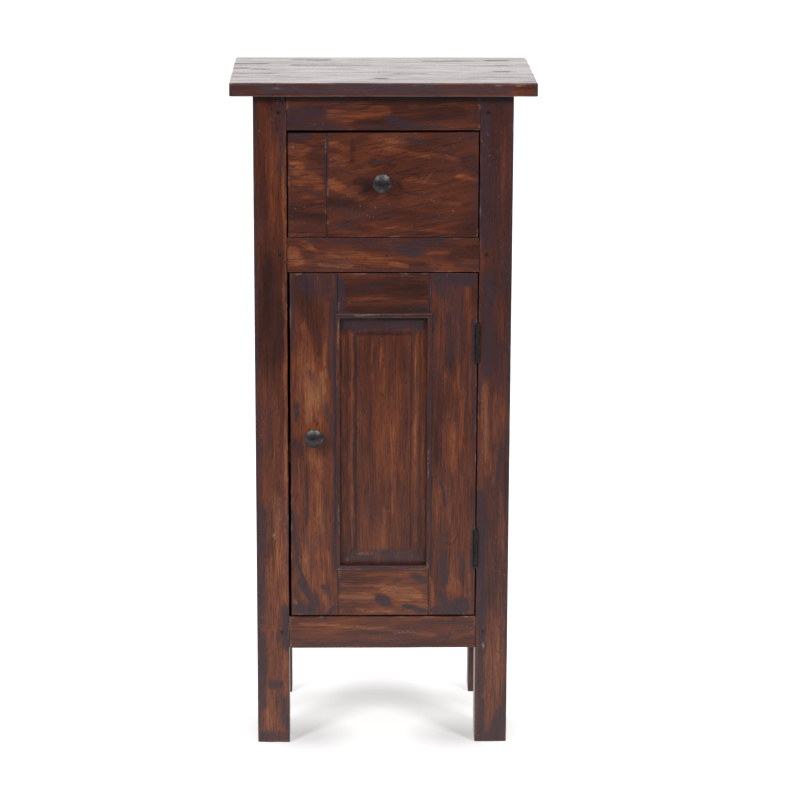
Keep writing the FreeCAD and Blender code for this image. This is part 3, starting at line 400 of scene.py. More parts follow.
def stained_wood(name, grain, seed, colours, tilt=0.0, depth=0.0, soot=0.5, tint=0.0, wave=9.0, streak=0.42,
                 dull=0.38, bright=0.28, matt=0.08, coat=0.1, polish=1.5, sheen_colour=WHITE):
    """Reclaimed hardwood under a dark walnut stain and a thin satin lacquer, rubbed by hand. The eye sees
    fine dark and orange streaks along the grain, cloudy bluish-black stain, and small open pores."""
    material, tree = new_material(name)
    place = wood_place(tree, grain, seed, tilt)
    place = wandering(tree, wandering(tree, place, 95.0, wave), 24.0, 1.6)
    fibre = streaks(tree, place, 34.0, 1.7, 4.0, 0.7)
    band = streaks(tree, place, 130.0, 8.0, 3.0, 0.5)
    cloud = streaks(tree, place, 110.0, 34.0, 2.5, 0.5)
    blot = streaks(tree, place, 70.0, 24.0, 4.0, 0.55)
    # late wood: dark lines 0.5 mm wide, drawn 1.3 mm wide so that they show
    line = add(tree, "MapRange", {0: streaks(tree, place, 60.0, 1.3, 3.0, 0.5), 1: 0.56, 2: 0.64})
    # pores are 0.2 mm wide, drawn 1 mm wide so that they show
    pore = streaks(tree, place, 8.0, 1.0, 2.0, 0.5)
    pore = add(tree, "MapRange", {0: pore, 1: 0.60, 2: 0.68, 3: 0.0, 4: 0.75})
    marks = add(tree, "Attribute", attribute_name="marks", attribute_type="GEOMETRY")
    amounts = add(tree, "SeparateColor", {0: marks.outputs["Color"]}).outputs
    held, worn, sunk_and_shaded = (torn(tree, amounts[mark], fibre) for mark in (SOOT_AND_SHADE, WARM_AND_LIT, DEEP_AND_SHADE))
    # how light the wood is: the mean of the streaks, up where the stain is worn and where light is painted,
    # down where it lies thick and where shade is painted
    light = add(tree, "Math", {0: fibre, 1: streak, 2: 0.53 - streak / 2 - depth}, operation="MULTIPLY_ADD")
    parts = (band, 0.36, 0.5), (cloud, 0.55, 0.5), (worn, 0.21, 0.0), (sunk_and_shaded, -0.15, 0.0), (line, -0.2, 0.0)
    for part, weight, mean in parts:
        offset = add(tree, "Math", {0: part, 1: weight, 2: -mean * weight}, operation="MULTIPLY_ADD")
        light = add(tree, "Math", {0: light, 1: offset}, operation="ADD")
    ramp = add(tree, "ValToRGB", {0: light})
    stops = ramp.color_ramp.elements
    stops[0].position, stops[0].color = 0.18, colours.thick
    stops[1].position, stops[1].color = 0.92, colours.bare
    for position, shade in ((0.35, colours.deep), (0.52, colours.middle), (0.72, colours.warm)):
        stops.new(position).color = shade
    # bluish-black stain: where the marks hold it, and in clouds of its own; some of those marks are painted
    # shade
    own = {0: blot, 1: 0.47, 2: 0.68, 3: tint, 4: soot}
    own = add(tree, "MapRange", own, interpolation_type="SMOOTHSTEP")
    black = add(tree, "Math", {0: own, 1: held}, operation="MAXIMUM")
    mottle = add(tree, "Math", {0: fibre, 1: 1.5, 2: 0.12}, operation="MULTIPLY_ADD")
    black = add(tree, "Math", {0: black, 1: mottle}, operation="MULTIPLY")
    # dust and chips in the lacquer: specks 0.5 mm wide, drawn 1.2 mm wide so that they show
    speck = add(tree, "TexNoise", {"Vector": place, "Scale": 0.42, "Detail": 1.0})
    speck = add(tree, "MapRange", {0: speck, 1: 0.71, 2: 0.77, 3: 0.0, 4: 0.45})
    gathered = add(tree, "MapRange", {0: blot, 1: 0.5, 2: 0.62, 3: 0.1, 4: 1.0})
    speck = add(tree, "Math", {0: speck, 1: gathered}, operation="MULTIPLY")
    # scratches, rubbed spots and painted highlights: pale where a mark says so
    rubbed = add(tree, "MapRange", {0: streaks(tree, place, 5.0, 1.6, 3.0), 1: 0.42, 2: 0.6})
    rubbed = add(tree, "Math", {0: rubbed, 1: marks.outputs["Alpha"]}, operation="MULTIPLY")
    colour = ramp
    layers = (black, colours.soot), (pore, colours.thick), (speck, colours.pale), (rubbed, colours.pale)
    for share, shade in layers:
        mix = add(tree, "Mix", {SHARE: share, UNDER: colour, OVER: shade}, data_type="RGBA")
        colour = mix.outputs[MIXED]
    sheen = add(tree, "Math", {0: band, 1: fibre}, operation="ADD")
    rough = add(tree, "MapRange", {0: sheen, 1: 0.8, 2: 1.2, 3: dull, 4: bright})
    # the black stain and the late wood lie matt in the lacquer
    for part, amount in ((black, matt), (line, matt * 0.6)):
        rough = add(tree, "Math", {0: part, 1: amount, 2: rough}, operation="MULTIPLY_ADD")
    if coat > 0.3:
        # thick lacquer is worn off where the marks hold the stain
        coat = add(tree, "Math", {0: held, 1: -coat, 2: coat}, operation="MULTIPLY_ADD")
    height = add(tree, "Math", {0: pore, 1: -0.6, 2: fibre}, operation="MULTIPLY_ADD")
    bump = add(tree, "Bump", {"Height": height, "Strength": 0.5, "Distance": 0.12 * MM})
    shader = add(tree, "BsdfPrincipled", {
        "Base Color": colour, "Roughness": rough, "IOR": polish, "Normal": bump,
        "Coat Weight": coat, "Coat Roughness": 0.22, "Coat IOR": polish, "Specular Tint": sheen_colour,
    })
    add(tree, "OutputMaterial", {0: shader})
    return material


def planed_wood(name, grain, seed, colours):
    """Unstained, planed hardwood of the inside, left bare: a lighter brown with soft, even grain."""
    material, tree = new_material(name)
    place = wandering(tree, wood_place(tree, grain, seed), 80.0, 5.0)
    fibre = streaks(tree, place, 45.0, 1.6)
    band = streaks(tree, place, 150.0, 11.0, 3.0)
    light = add(tree, "Math", {0: fibre, 1: 0.5, 2: 0.0}, operation="MULTIPLY_ADD")
    light = add(tree, "Math", {0: band, 1: 0.5, 2: light}, operation="MULTIPLY_ADD")
    ramp = add(tree, "ValToRGB", {0: light})
    stops = ramp.color_ramp.elements
    stops[0].position, stops[0].color = 0.32, colours.inside_dark
    stops[1].position, stops[1].color = 0.66, colours.inside_light
    bump = add(tree, "Bump", {"Height": fibre, "Strength": 0.4, "Distance": 0.1 * MM})
    shader = add(tree, "BsdfPrincipled", {
        "Base Color": ramp, "Roughness": 0.62, "IOR": 1.5, "Normal": bump,
    })
    add(tree, "OutputMaterial", {0: shader})
    return material


def metal(name, light, dark, roughness, cell, metallic=1.0):
    """A metal with soft tarnish: two tones mixed by noise of a cell in millimetres, duller in the dark."""
    material, tree = new_material(name)
    spot = add(tree, "TexCoord").outputs["Object"]
    place = add(tree, "VectorMath", {0: spot, 1: (1 / (cell * MM),) * 3}, operation="MULTIPLY")
    cloud = add(tree, "TexNoise", {"Vector": place, "Scale": 1.0, "Detail": 4.0, "Roughness": 0.6})
    share = add(tree, "MapRange", {0: cloud, 1: 0.38, 2: 0.62})
    tone = add(tree, "Mix", {SHARE: share, UNDER: dark, OVER: light}, data_type="RGBA").outputs[MIXED]
    rough = {0: cloud, 1: 0.35, 2: 0.65, 3: roughness + 0.1, 4: roughness - 0.05}
    bump = add(tree, "Bump", {"Height": cloud, "Strength": 0.35, "Distance": 0.2 * MM})
    shader = add(tree, "BsdfPrincipled", {
        "Base Color": tone, "Roughness": add(tree, "MapRange", rough), "Metallic": metallic, "Normal": bump,
    })
    add(tree, "OutputMaterial", {0: shader})
    return material


# Settings


def colour_property(name, description, value):
    return FloatVectorProperty(
        name=name, description=description, subtype="COLOR", size=4, min=0, max=1, default=linear(value))


def size_property(name, description, value):
    return FloatProperty(name=name, description=description, default=value * MM, unit="LENGTH")


class TableColours(bpy.types.PropertyGroup):
    # The stain colours also paint shade and light: the thick, deep and blue-black ones give shade in creases
    # and the shadows of the knobs and the top, the worn, bare and rubbed ones light on the lower legs and
    # highlights on the bead
    thick: colour_property("Thick stain", "Darkest brown, where the stain lies thick", "28130e")
    deep: colour_property("Deep stain", "Deep reddish brown", "3c1d15")
    middle: colour_property("Stain", "The brown of most of the wood", "54291a")
    warm: colour_property("Worn stain", "Orange brown where the stain is thin", "723b21")
    bare: colour_property("Bare streak", "Lightest orange brown of the grain", "8e5b38")
    soot: colour_property("Blue-black stain", "Bluish black stain round joints and edges", "32242b")
    pale: colour_property("Rubbed", "Scratches and rubbed spots", "a08a78")
    inside_dark: colour_property("Inside, dark", "Darker grain of the bare inside wood", "7a5436")
    inside_light: colour_property("Inside, light", "Lighter grain of the bare inside wood", "a47c54")
    lacquer: colour_property("Lacquer", "Mauve cast of the gloss on the top", "fdeeff")
    pewter_light: colour_property("Pewter", "Rubbed pewter of the knobs", "605a5c")
    pewter_dark: colour_property("Old pewter", "Darkened pewter of the knobs", "454142")
    black_steel: colour_property("Black steel", "Rubbed oxide of the hinge leaves", "322929")
    black_oxide: colour_property("Black oxide", "Unworn oxide of the hinge leaves", "161213")
    zinc: colour_property("Zinc", "Bright zinc of screws and pins", "b5b6ba")
    zinc_grey: colour_property("Grey zinc", "Dull zinc of screws and pins", "7e7f83")
    floor: colour_property("Floor", "Pale studio floor", "d4d4d4")


class TableSizes(bpy.types.PropertyGroup):
    leg_round: size_property("Leg rounding", "Radius worn on the legs", 2.2)
    rail_round: size_property("Rail rounding", "Radius on rails and the door frame", 1.0)
    top_round: size_property("Top rounding", "Radius worn on the edges of the top", 2.0)
    top_corner: size_property("Top corner", "Rear right corner of the top, knocked round", 9)
    mesh_step: size_property("Mesh step", "Distance between points on the front boards", 1.6)
    drawer_slant: size_property("Drawer slant", "Rise of the drawer front's top edge, left to right", 1.6)


class TableStage(bpy.types.PropertyGroup):
    camera_place: FloatVectorProperty(
        name="Camera", description="Where the camera stands", subtype="TRANSLATION", unit="LENGTH",
        default=(-0.0569, -3.8943, 1.4274))
    camera_turn: FloatVectorProperty(
        name="Camera angle", description="How the camera is turned", subtype="EULER", unit="ROTATION",
        default=tuple(math.radians(a) for a in (76.0336, -0.1969, -1.1609)))
    lens: FloatProperty(
        name="Lens", description="Focal length in millimetres on a 36 mm frame", default=130.9)
    left_power: FloatProperty(
        name="Left lamp", description="Soft lamp, upper left", default=78, unit="POWER")
    right_power: FloatProperty(
        name="Right lamp", description="Soft lamp, upper right", default=78, unit="POWER")
    sky: FloatProperty(name="Room light", description="Even light from all round", default=0.4)


# Strokes of each mark, by piece: strength, brush radius, and the places (x, z) along the line, or (x, y) on
# the top

LEG_STROKES = {
    "front_left_leg": {
        SOOT_AND_SHADE: (
            (0.62, 6, -170, 890, -170, 10), (0.5, 9, -165, 480, -166, 370), (0.72, 9, -164, 330, -166, 180),
            (0.75, 8, -163, 150, -164, 60), (0.6, 7, -133, 893, -133, 800), (0.7, 5, -137, 874),
            (0.4, 7, -140, 860), (0.45, 6, -150, 500, -152, 430), (0.9, 8, -132, 188, -132, 146),
            (0.55, 4, -140, 176, -142, 150), (0.7, 4, -155, 85, -138, 84), (0.75, 9, -134, 58, -133, 30),
            (0.75, 6, -165, 10, -132, 8),
        ),
        WARM_AND_LIT: (
            (0.55, 9, -151, 870, -149, 790), (0.45, 7, -150, 780, -148, 690),
            (0.6, 2.6, -131, 800, -131, 700, -131, 560), (0.9, 2.8, -130, 640, -130, 400, -130, 190),
            (0.4, 6, -143, 470, -144, 400), (0.7, 9, -143, 340, -140, 260, -143, 210),
            (0.55, 5, -153, 260, -150, 220), (0.6, 8, -151, 175, -150, 130), (0.75, 3, -153, 120, -153, 96),
            # the broad stroke from z 230 to the foot makes the lower leg lighter: painted light
            (0.6, 3, -146, 118, -145, 92), (0.65, 26, -146, 230, -146, 10), (0.65, 7, -150, 72, -152, 14),
        ),
        DEEP_AND_SHADE: (
            (0.55, 5, -142, 850, -141, 740), (0.5, 12, -150, 660, -152, 560),
            (0.5, 9, -158, 760, -156, 700), (0.5, 7, -142, 640, -142, 500),
            # the broad stroke from z 900 to 560 makes the upper leg darker: painted shade
            (0.75, 24, -150, 900, -150, 560), (0.5, 4, -140, 120, -138, 96),
        ),
        PALE_AND_HIGHLIGHT: ((0.6, 1.3, -147, 299, -147, 292), (0.5, 0.8, -156, 300), (0.5, 0.9, -150, 866)),
    },
    "front_right_leg": {
        SOOT_AND_SHADE: (
            (0.85, 8, 133, 893, 133, 780, 134, 700), (0.8, 7, 170, 894, 150, 893), (0.5, 6, 140, 866),
            (0.5, 8, 147, 800, 148, 700), (0.65, 5, 170, 880, 170, 10), (0.6, 10, 160, 690, 158, 640),
            (0.75, 11, 140, 650, 142, 530), (0.6, 9, 158, 560, 160, 500), (0.85, 8, 134, 350, 135, 190),
            (0.6, 6, 158, 420, 150, 350), (0.45, 6, 146, 330, 144, 250), (0.5, 5, 168, 340, 168, 200),
            (0.8, 7, 136, 185, 135, 20), (0.85, 11, 164, 34, 156, 14), (0.6, 5, 132, 10, 150, 8),
            (0.4, 20, 150, 880, 150, 740),
        ),
        WARM_AND_LIT: (
            (0.45, 5, 158, 850, 157, 760), (0.35, 6, 161, 610, 160, 570),
            (0.75, 6, 137, 500, 138, 440, 141, 390), (0.6, 5, 149, 490, 152, 410, 150, 370),
            (0.4, 5, 161, 470, 162, 420), (0.55, 6, 160, 350, 161, 280), (0.45, 6, 158, 250, 160, 150),
            (0.55, 4, 161, 140, 160, 70), (0.4, 5, 150, 130, 150, 60), (0.45, 5, 146, 50, 147, 20),
            # the broad stroke from z 160 to 40 makes the lower leg lighter: painted light
            (0.6, 22, 152, 160, 152, 40),
        ),
        # the broad stroke from z 900 to 560 makes the upper leg darker: painted shade
        DEEP_AND_SHADE: ((0.6, 9, 155, 860, 156, 720), (0.5, 8, 150, 600, 152, 530), (0.65, 24, 150, 900, 150, 560)),
        PALE_AND_HIGHLIGHT: ((0.9, 1.6, 136.5, 140), (0.5, 0.9, 169, 590)),
    },
    # the rear legs' feet, seen under the bottom rail, are lightened by broad strokes of worn stain: painted
    # light where they stand in shade
    "rear_left_leg": {
        WARM_AND_LIT: ((0.7, 14, -135, 120, -135, 0),),
    },
    "rear_right_leg": {
        WARM_AND_LIT: ((0.7, 14, 120, 120, 120, 0),),
        PALE_AND_HIGHLIGHT: ((0.9, 1.4, 126, 102),),
    },
}
RAIL_STROKES = {
    "front_top_rail": {
        SOOT_AND_SHADE: (
            # the first stroke, a line along the rail's top edge, is painted shadow under the top's overhang
            (0.6, 4, -127, 894, 127, 894), (0.75, 14, -116, 870, -94, 874), (0.65, 9, -122, 856, -66, 856),
            (0.5, 6, -90, 890, -70, 888), (0.8, 7, 12, 866, 28, 858), (0.6, 4, -30, 857, 80, 854),
            (0.35, 7, 104, 890, 127, 888), (1.0, 0.8, 118.5, 877, 118.5, 864),
            (1.0, 0.8, 121.5, 877, 121.2, 859), (0.9, 2.6, -112, 859), (0.9, 2.6, -126, 868),
        ),
        WARM_AND_LIT: (
            (0.95, 7, -66, 872, -30, 872, 0, 877), (0.5, 5, -60, 884, -20, 886),
            (0.45, 6, -64, 862, -44, 864), (0.45, 5, 40, 882, 112, 884),
        ),
        DEEP_AND_SHADE: ((0.55, 5, -36, 860, 0, 862), (0.5, 9, 70, 868, 100, 870), (0.6, 5, -125, 866, -122, 860)),
    },
    "front_mid_rail": {
        SOOT_AND_SHADE: (
            (0.5, 5, -64, 702, -30, 703), (0.95, 9, 28, 691, 38, 688), (0.85, 5, 40, 701, 74, 704),
            (0.55, 5, 100, 672, 125, 668), (0.45, 4, -14, 664, 40, 664),
        ),
        WARM_AND_LIT: (
            (0.95, 6, -122, 690, -114, 674), (0.75, 4, -106, 700, -92, 692), (0.45, 9, -80, 684, 0, 680),
            (0.65, 4, -80, 670, -45, 670), (0.55, 3, -90, 690, -40, 688), (0.85, 4, 12, 672, 30, 668),
            (0.7, 3, 62, 686, 84, 689), (0.55, 3, 60, 672, 90, 670),
        ),
        DEEP_AND_SHADE: ((0.6, 6, -104, 683, -84, 686), (0.7, 9, 92, 682, 124, 690), (0.5, 5, -20, 692, 10, 690)),
    },
    "front_bottom_rail": {
        SOOT_AND_SHADE: ((0.55, 8, -70, 146, 60, 145), (0.55, 7, -122, 146, -90, 142), (0.45, 6, 60, 172, 100, 174)),
        WARM_AND_LIT: (
            (0.8, 3, -110, 172, -40, 168, 20, 161, 70, 155), (0.45, 4, -90, 179, 90, 179),
            (0.6, 4, 96, 150, 122, 160), (0.5, 7, 108, 156, 122, 160), (0.4, 4, 84, 146, 110, 142),
        ),
        DEEP_AND_SHADE: ((0.5, 6, -60, 158, -10, 158),),
    },
}
DRAWER_STROKES = {
    "drawer_front_left": {
        SOOT_AND_SHADE: (
            (0.95, 5, -122, 844, -100, 843), (0.45, 8, -110, 722, -86, 718),
            (1.0, 1.4, -124, 804, -119, 803), (0.9, 1.1, -75.5, 846, -75.5, 770),
            (0.6, 1.0, -75.5, 770, -75.5, 712), (0.7, 1.6, -122, 778, -100, 771, -84, 763),
            (0.7, 3, -122, 716),
        ),
        WARM_AND_LIT: (
            (0.95, 9, -118, 826, -110, 824), (0.75, 7, -116, 806, -112, 796), (0.7, 6, -94, 792, -84, 776),
            (0.5, 5, -96, 836, -82, 838), (0.6, 6, -112, 780, -100, 786), (0.5, 4, -108, 764, -84, 757),
        ),
        DEEP_AND_SHADE: ((0.75, 7, -96, 817, -84, 816), (0.6, 11, -114, 742, -84, 734)),
    },
    "drawer_front_right": {
        SOOT_AND_SHADE: (
            (0.85, 1.1, -74, 846, -74, 775), (0.8, 1.6, -56, 797.5, -46, 794.5, -32, 790),
            # the stroke at -24, 776 is painted shadow of the knob, to its left
            (0.45, 5, -24, 776), (0.55, 3, -10, 809, 8, 808), (0.85, 1.2, 36, 765.5, 46, 764, 58, 765),
            (0.45, 9, 112, 806, 116, 816), (0.75, 4, 30, 838, 52, 834), (0.5, 4, 70, 845, 118, 844),
            (0.4, 6, -60, 746, 10, 736), (1.0, 3.4, -58, 725, -47, 722), (0.6, 2, 60, 735, 76, 734),
            (0.5, 3, 88, 732, 116, 726), (0.7, 3, 112, 838, 119, 845), (0.5, 3, 122, 720, 122, 800),
        ),
        WARM_AND_LIT: (
            (0.65, 5, -68, 834, -50, 827), (0.45, 5, -66, 818, -52, 812), (0.95, 6, -66, 782, -50, 770),
            (1.0, 6, -42, 768, -34, 774), (0.7, 4, -68, 804, -55, 806), (0.65, 4, 6, 826, 60, 815),
            (0.65, 4, 55, 818, 96, 812), (0.6, 5, -14, 843, 14, 836), (0.55, 5, 30, 786, 66, 780),
            (0.7, 4, 100, 789, 122, 784), (0.5, 4, 60, 758, 100, 752), (0.5, 3, -10, 722, 90, 716),
            (0.45, 3, -70, 714, -30, 716), (0.5, 4, -30, 760, 6, 764),
        ),
        DEEP_AND_SHADE: (
            # the stroke from -27, 782 to -26, 774 is painted shadow of the knob, to its left
            (0.6, 2.2, -40, 838, -41, 806), (1.0, 8, -27, 782, -26, 774), (0.7, 3, -16, 806, -12, 812),
            (0.8, 1.8, -12, 802, -4, 806, 5, 806, 14, 802),
            (0.9, 1.3, 28, 769, 36, 766, 44, 764.5, 54, 764.5, 66, 768), (0.85, 1.4, 18, 792, 46, 792),
            (0.8, 1.4, 18, 782, 24, 771), (0.95, 1.6, 73, 795, 92, 796), (0.6, 1.6, 76, 772, 84, 770),
            (0.7, 11, 112, 812, 120, 800), (0.5, 1.6, -10, 830, 60, 812), (0.6, 1.5, -30, 822, 30, 808),
            (0.5, 1.5, 40, 828, 110, 814), (0.8, 8, -68, 757, -30, 749), (0.5, 7, 0, 745, 60, 737),
            (0.5, 8, -60, 730, -20, 718), (0.3, 5, -16, 734, 40, 730),
        ),
        PALE_AND_HIGHLIGHT: ((0.22, 0.7, 52, 778, 64, 793),),
    },
}
DOOR_STROKES = {
    "door_stile_left": {
        SOOT_AND_SHADE: (
            (0.62, 14, -104, 650, -76, 644), (1.0, 3.4, -62, 659, -62, 440), (0.6, 5, -120, 650, -121, 560),
            (0.8, 2, -72, 625), (0.75, 3, -68, 622, -67, 596), (0.6, 3, -72, 600, -71, 520),
            (0.55, 3, -84, 590, -84, 560), (0.5, 5, -98, 522, -92, 512), (0.85, 1.2, -87, 472, -87, 452),
            (0.8, 1.2, -91, 470, -91, 456), (0.75, 4, -116, 478, -116, 462), (0.55, 4, -75, 478, -74, 460),
            (0.55, 4, -70, 462, -69, 440), (0.45, 5, -118, 430, -112, 420),
            (0.7, 2.4, -102, 372, -102, 320),
            (0.95, 2.6, -121, 330, -119, 290, -116, 262, -109, 240, -99, 218),
            (0.85, 5.5, -110, 229, -99, 213), (0.8, 6, -119, 195, -96, 188),
            (0.9, 3.6, -101, 216, -94, 198), (0.6, 4, -92, 214, -89, 202), (0.8, 2.6, -82, 225, -75, 224),
            (0.9, 2.6, -65.5, 600, -65.5, 470), (0.75, 2.2, -65.5, 480, -65.5, 260),
            (0.8, 4, -66, 192, -70, 188),
        ),
        WARM_AND_LIT: (
            (0.7, 6, -104, 585, -100, 540), (0.6, 6, -108, 560, -112, 490), (0.9, 4, -82, 520, -80, 500),
            (0.55, 14, -98, 545, -96, 440), (0.7, 6, -100, 510, -96, 470), (0.6, 4, -78, 560, -76, 520),
            (0.6, 5, -112, 400, -112, 330), (0.75, 6, -86, 400, -84, 300), (0.55, 5, -74, 270, -72, 240),
            (0.6, 4, -96, 300, -96, 250), (0.6, 3, -113, 262, -106, 240), (0.8, 5, -78, 208, -72, 196),
            (0.6, 4, -84, 250, -78, 232), (0.6, 5, -90, 356, -86, 340), (0.6, 20, -96, 500, -94, 240),
        ),
        DEEP_AND_SHADE: (
            (0.95, 16, -110, 640, -90, 600), (0.95, 4.5, -86, 606, -86, 552), (0.6, 4, -93, 620, -91, 596),
            # the stroke from -84, 424 to -92, 421 is painted shadow of the knob, below it
            (0.85, 8, -84, 424, -92, 421), (1.0, 3, -103, 392, -102, 330, -106, 305),
            (0.7, 5, -119, 218, -113, 203), (0.5, 3, -94, 280, -92, 246),
        ),
        PALE_AND_HIGHLIGHT: ((0.8, 0.9, -120, 206, -117, 202), (0.5, 0.8, -121, 345)),
    },
    "door_stile_right": {
        SOOT_AND_SHADE: (
            (0.95, 7, 70, 652, 96, 650, 118, 654), (0.7, 8, 72, 640, 84, 632), (0.5, 8, 66, 600, 68, 520),
            (0.55, 22, 92, 640, 94, 560), (1.0, 5, 121, 592, 121, 540), (0.85, 2.4, 120, 545, 122, 430),
            (0.6, 2.4, 113, 530, 111, 460), (0.9, 2.2, 79, 372, 84, 338), (0.4, 9, 84, 300, 82, 270),
            (0.75, 8, 84, 262, 84, 236), (0.5, 6, 106, 270, 108, 244), (1.0, 8, 114, 196, 88, 192),
            (0.8, 5, 72, 190, 80, 192), (0.85, 6, 80, 214, 86, 200), (1.0, 3.4, 122, 302, 122, 250),
            (0.75, 2, 65, 590, 65, 260), (0.8, 1.6, 63.5, 656, 63.5, 606), (0.5, 3, 123, 430, 123, 310),
        ),
        WARM_AND_LIT: (
            (0.5, 5, 112, 640, 110, 610), (0.65, 3, 100, 590, 101, 500), (0.7, 4, 108, 500, 106, 420),
            (0.75, 5, 95, 450, 92, 400), (0.5, 3, 84, 520, 84, 450), (0.5, 5, 76, 360, 75, 320),
            (0.45, 6, 104, 400, 104, 350), (1.0, 8, 94, 232, 104, 220), (0.6, 5, 108, 216, 112, 206),
            (0.5, 3, 118, 240, 119, 210), (0.9, 3.4, 66, 232, 68, 198), (0.5, 16, 98, 500, 98, 400),
            (0.45, 16, 96, 380, 96, 210),
        ),
        DEEP_AND_SHADE: (
            (0.65, 6, 86, 600, 90, 540), (0.6, 5, 76, 520, 74, 400), (0.5, 2.4, 90, 305, 91, 296),
            (0.75, 1.4, 79, 338, 79, 302, 86, 286, 96, 284, 103, 297, 106, 336),
            (0.6, 1.3, 84, 326, 85, 303, 91, 292, 98, 301, 100, 322),
            (0.55, 1.4, 74, 300, 80, 276, 92, 268),
        ),
        PALE_AND_HIGHLIGHT: ((0.7, 1.1, 124, 594), (0.6, 0.9, 111, 186), (0.5, 0.8, 68, 185)),
    },
    "door_rail_top": {
        SOOT_AND_SHADE: (
            (0.8, 4, -57, 652, -57, 610), (0.5, 6, -30, 642, -8, 642), (0.7, 0.9, 61.5, 657, 61.5, 606),
            (0.5, 5, 40, 612, 60, 616),
        ),
        WARM_AND_LIT: (
            (0.5, 4, -44, 623, 0, 625, 54, 622), (0.5, 4, 6, 643, 50, 647), (0.45, 2.4, -40, 655, 40, 656),
        ),
        DEEP_AND_SHADE: ((0.75, 14, -44, 640, 44, 636), (0.8, 6, -44, 612, 52, 610)),
    },
    "door_rail_bottom": {
        SOOT_AND_SHADE: (
            (0.95, 6, 0, 209, 4, 200), (0.8, 6, 46, 240, 58, 232), (0.85, 5, 34, 196, 54, 192),
            (0.6, 3, 22, 234, 8, 227), (0.7, 0.9, -60, 240, -60, 190),
        ),
        WARM_AND_LIT: (
            (0.85, 9, -50, 212, -26, 210), (1.0, 10, 12, 218, 30, 214), (0.5, 9, -44, 228, 0, 226),
            (0.9, 6, 34, 220, 46, 212), (0.45, 8, -40, 222, -16, 218), (0.6, 4, -30, 192, 10, 189),
            (0.55, 2.6, -20, 241, 24, 242),
        ),
        DEEP_AND_SHADE: ((0.7, 6, -50, 234, -6, 232), (0.65, 5, -54, 198, -44, 190), (0.6, 1.2, 8, 222, -6, 214)),
    },
}
# Pale lines along the bead's crest: painted highlights, and rubbed wear
BEAD_HIGHLIGHTS_AND_WEAR = {
    PALE_AND_HIGHLIGHT: (
        (0.7, 1.2, -36, 604, -8, 604.5), (0.4, 1.0, 10, 605, 40, 604), (0.8, 1.4, -60, 249.5),
        (0.35, 1.0, -54, 249, -30, 249), (0.4, 1.0, 14, 248.5, 56, 249.5), (0.4, 1.0, -59, 596, -59, 560),
        (0.35, 0.9, 61, 420, 61, 380), (0.5, 1.0, 60, 262, 61, 252), (0.3, 0.9, -59, 340, -59, 300),
    ),
}
TOP_STROKES = {
    "top_board_front": {
        SOOT_AND_SHADE: (
            (1.0, 5.1, -5, -85, 0, -86), (0.4, 6.8, -196, -70, -120, -72),
            (0.25, 5.1, -190, -108, -60, -110), (0.3, 5.1, -30, -96, 120, -98),
            (0.5, 8.5, 188, -116, 200, -112), (0.5, 5.1, 120, -74, 180, -72),
        ),
        DEEP_AND_SHADE: ((0.6, 6.8, -100, -80, 60, -82),),
    },
    "top_board_middle": {
        SOOT_AND_SHADE: (
            (1.0, 4.4, -170, 8, -156, 8), (0.8, 5.1, -197, 18, -184, 18), (0.6, 5.1, -196, -33, -150, -34),
            (0.7, 5.1, -192, -56, -130, -58), (1.0, 4.4, 155, -16, 166, -16), (0.6, 5.1, 20, -33, 54, -33),
            (0.35, 5.1, -120, -20, 10, -22), (0.4, 5.1, 60, -50, 160, -48),
        ),
        DEEP_AND_SHADE: ((0.6, 8.5, -60, 10, 80, 12),),
    },
    "top_board_rear": {
        SOOT_AND_SHADE: (
            (1.0, 5.1, -199, 63, -160, 63), (1.0, 4.1, -117, 49, -92, 50), (0.8, 4.1, -80, 48, -50, 50),
            (0.8, 4.1, -44, 49, -20, 48), (0.9, 6.8, -96, 105, -78, 104), (0.7, 5.1, -116, 106, -100, 104),
            (0.7, 5.1, 62, 92, 84, 90), (0.9, 5.1, 90, 92, 104, 93), (0.6, 5.1, 108, 91, 125, 92),
            (0.8, 5.1, 149, 97, 169, 97), (0.9, 5.1, 157, 46, 167, 46), (0.4, 5.1, -40, 78, 60, 80),
            (0.35, 5.1, -190, 90, -130, 92),
        ),
    },
}
TOP_EDGE_STROKES = {
    SOOT_AND_SHADE: (
        (0.6, 8, -150, 906, 160, 905), (0.75, 5, -60, 912, 60, 911), (0.6, 3, -196, 914, -150, 913),
        (0.7, 2.5, -103, 902, -98, 901), (0.8, 2, -88, 903), (0.7, 2, -66, 900, -60, 901),
        (0.7, 2.4, -46, 904, -30, 903), (0.7, 3, 10, 906, 24, 905), (0.9, 1.6, 72, 911),
        (0.9, 1.6, 79, 911), (0.5, 3, 90, 903, 130, 902), (0.6, 1.6, 196, 914, 200, 900),
    ),
    WARM_AND_LIT: ((0.5, 6, -192, 905, -158, 905), (0.45, 4, -60, 905, -20, 906), (0.6, 5, 172, 902, 198, 904)),
    DEEP_AND_SHADE: ((0.6, 9, -196, 906, 196, 906),),
    PALE_AND_HIGHLIGHT: (
        (0.5, 0.8, -141, 908, -134, 907), (0.3, 0.7, -116, 909), (0.5, 0.8, -89, 899),
        (0.5, 0.8, 38, 912, 47, 912.5), (0.3, 0.8, 62, 911), (0.5, 0.8, 125, 912, 130, 912),
        (0.7, 1.1, 147, 911, 154, 912), (0.8, 1.1, 174, 911, 185, 912.5),
    ),
}


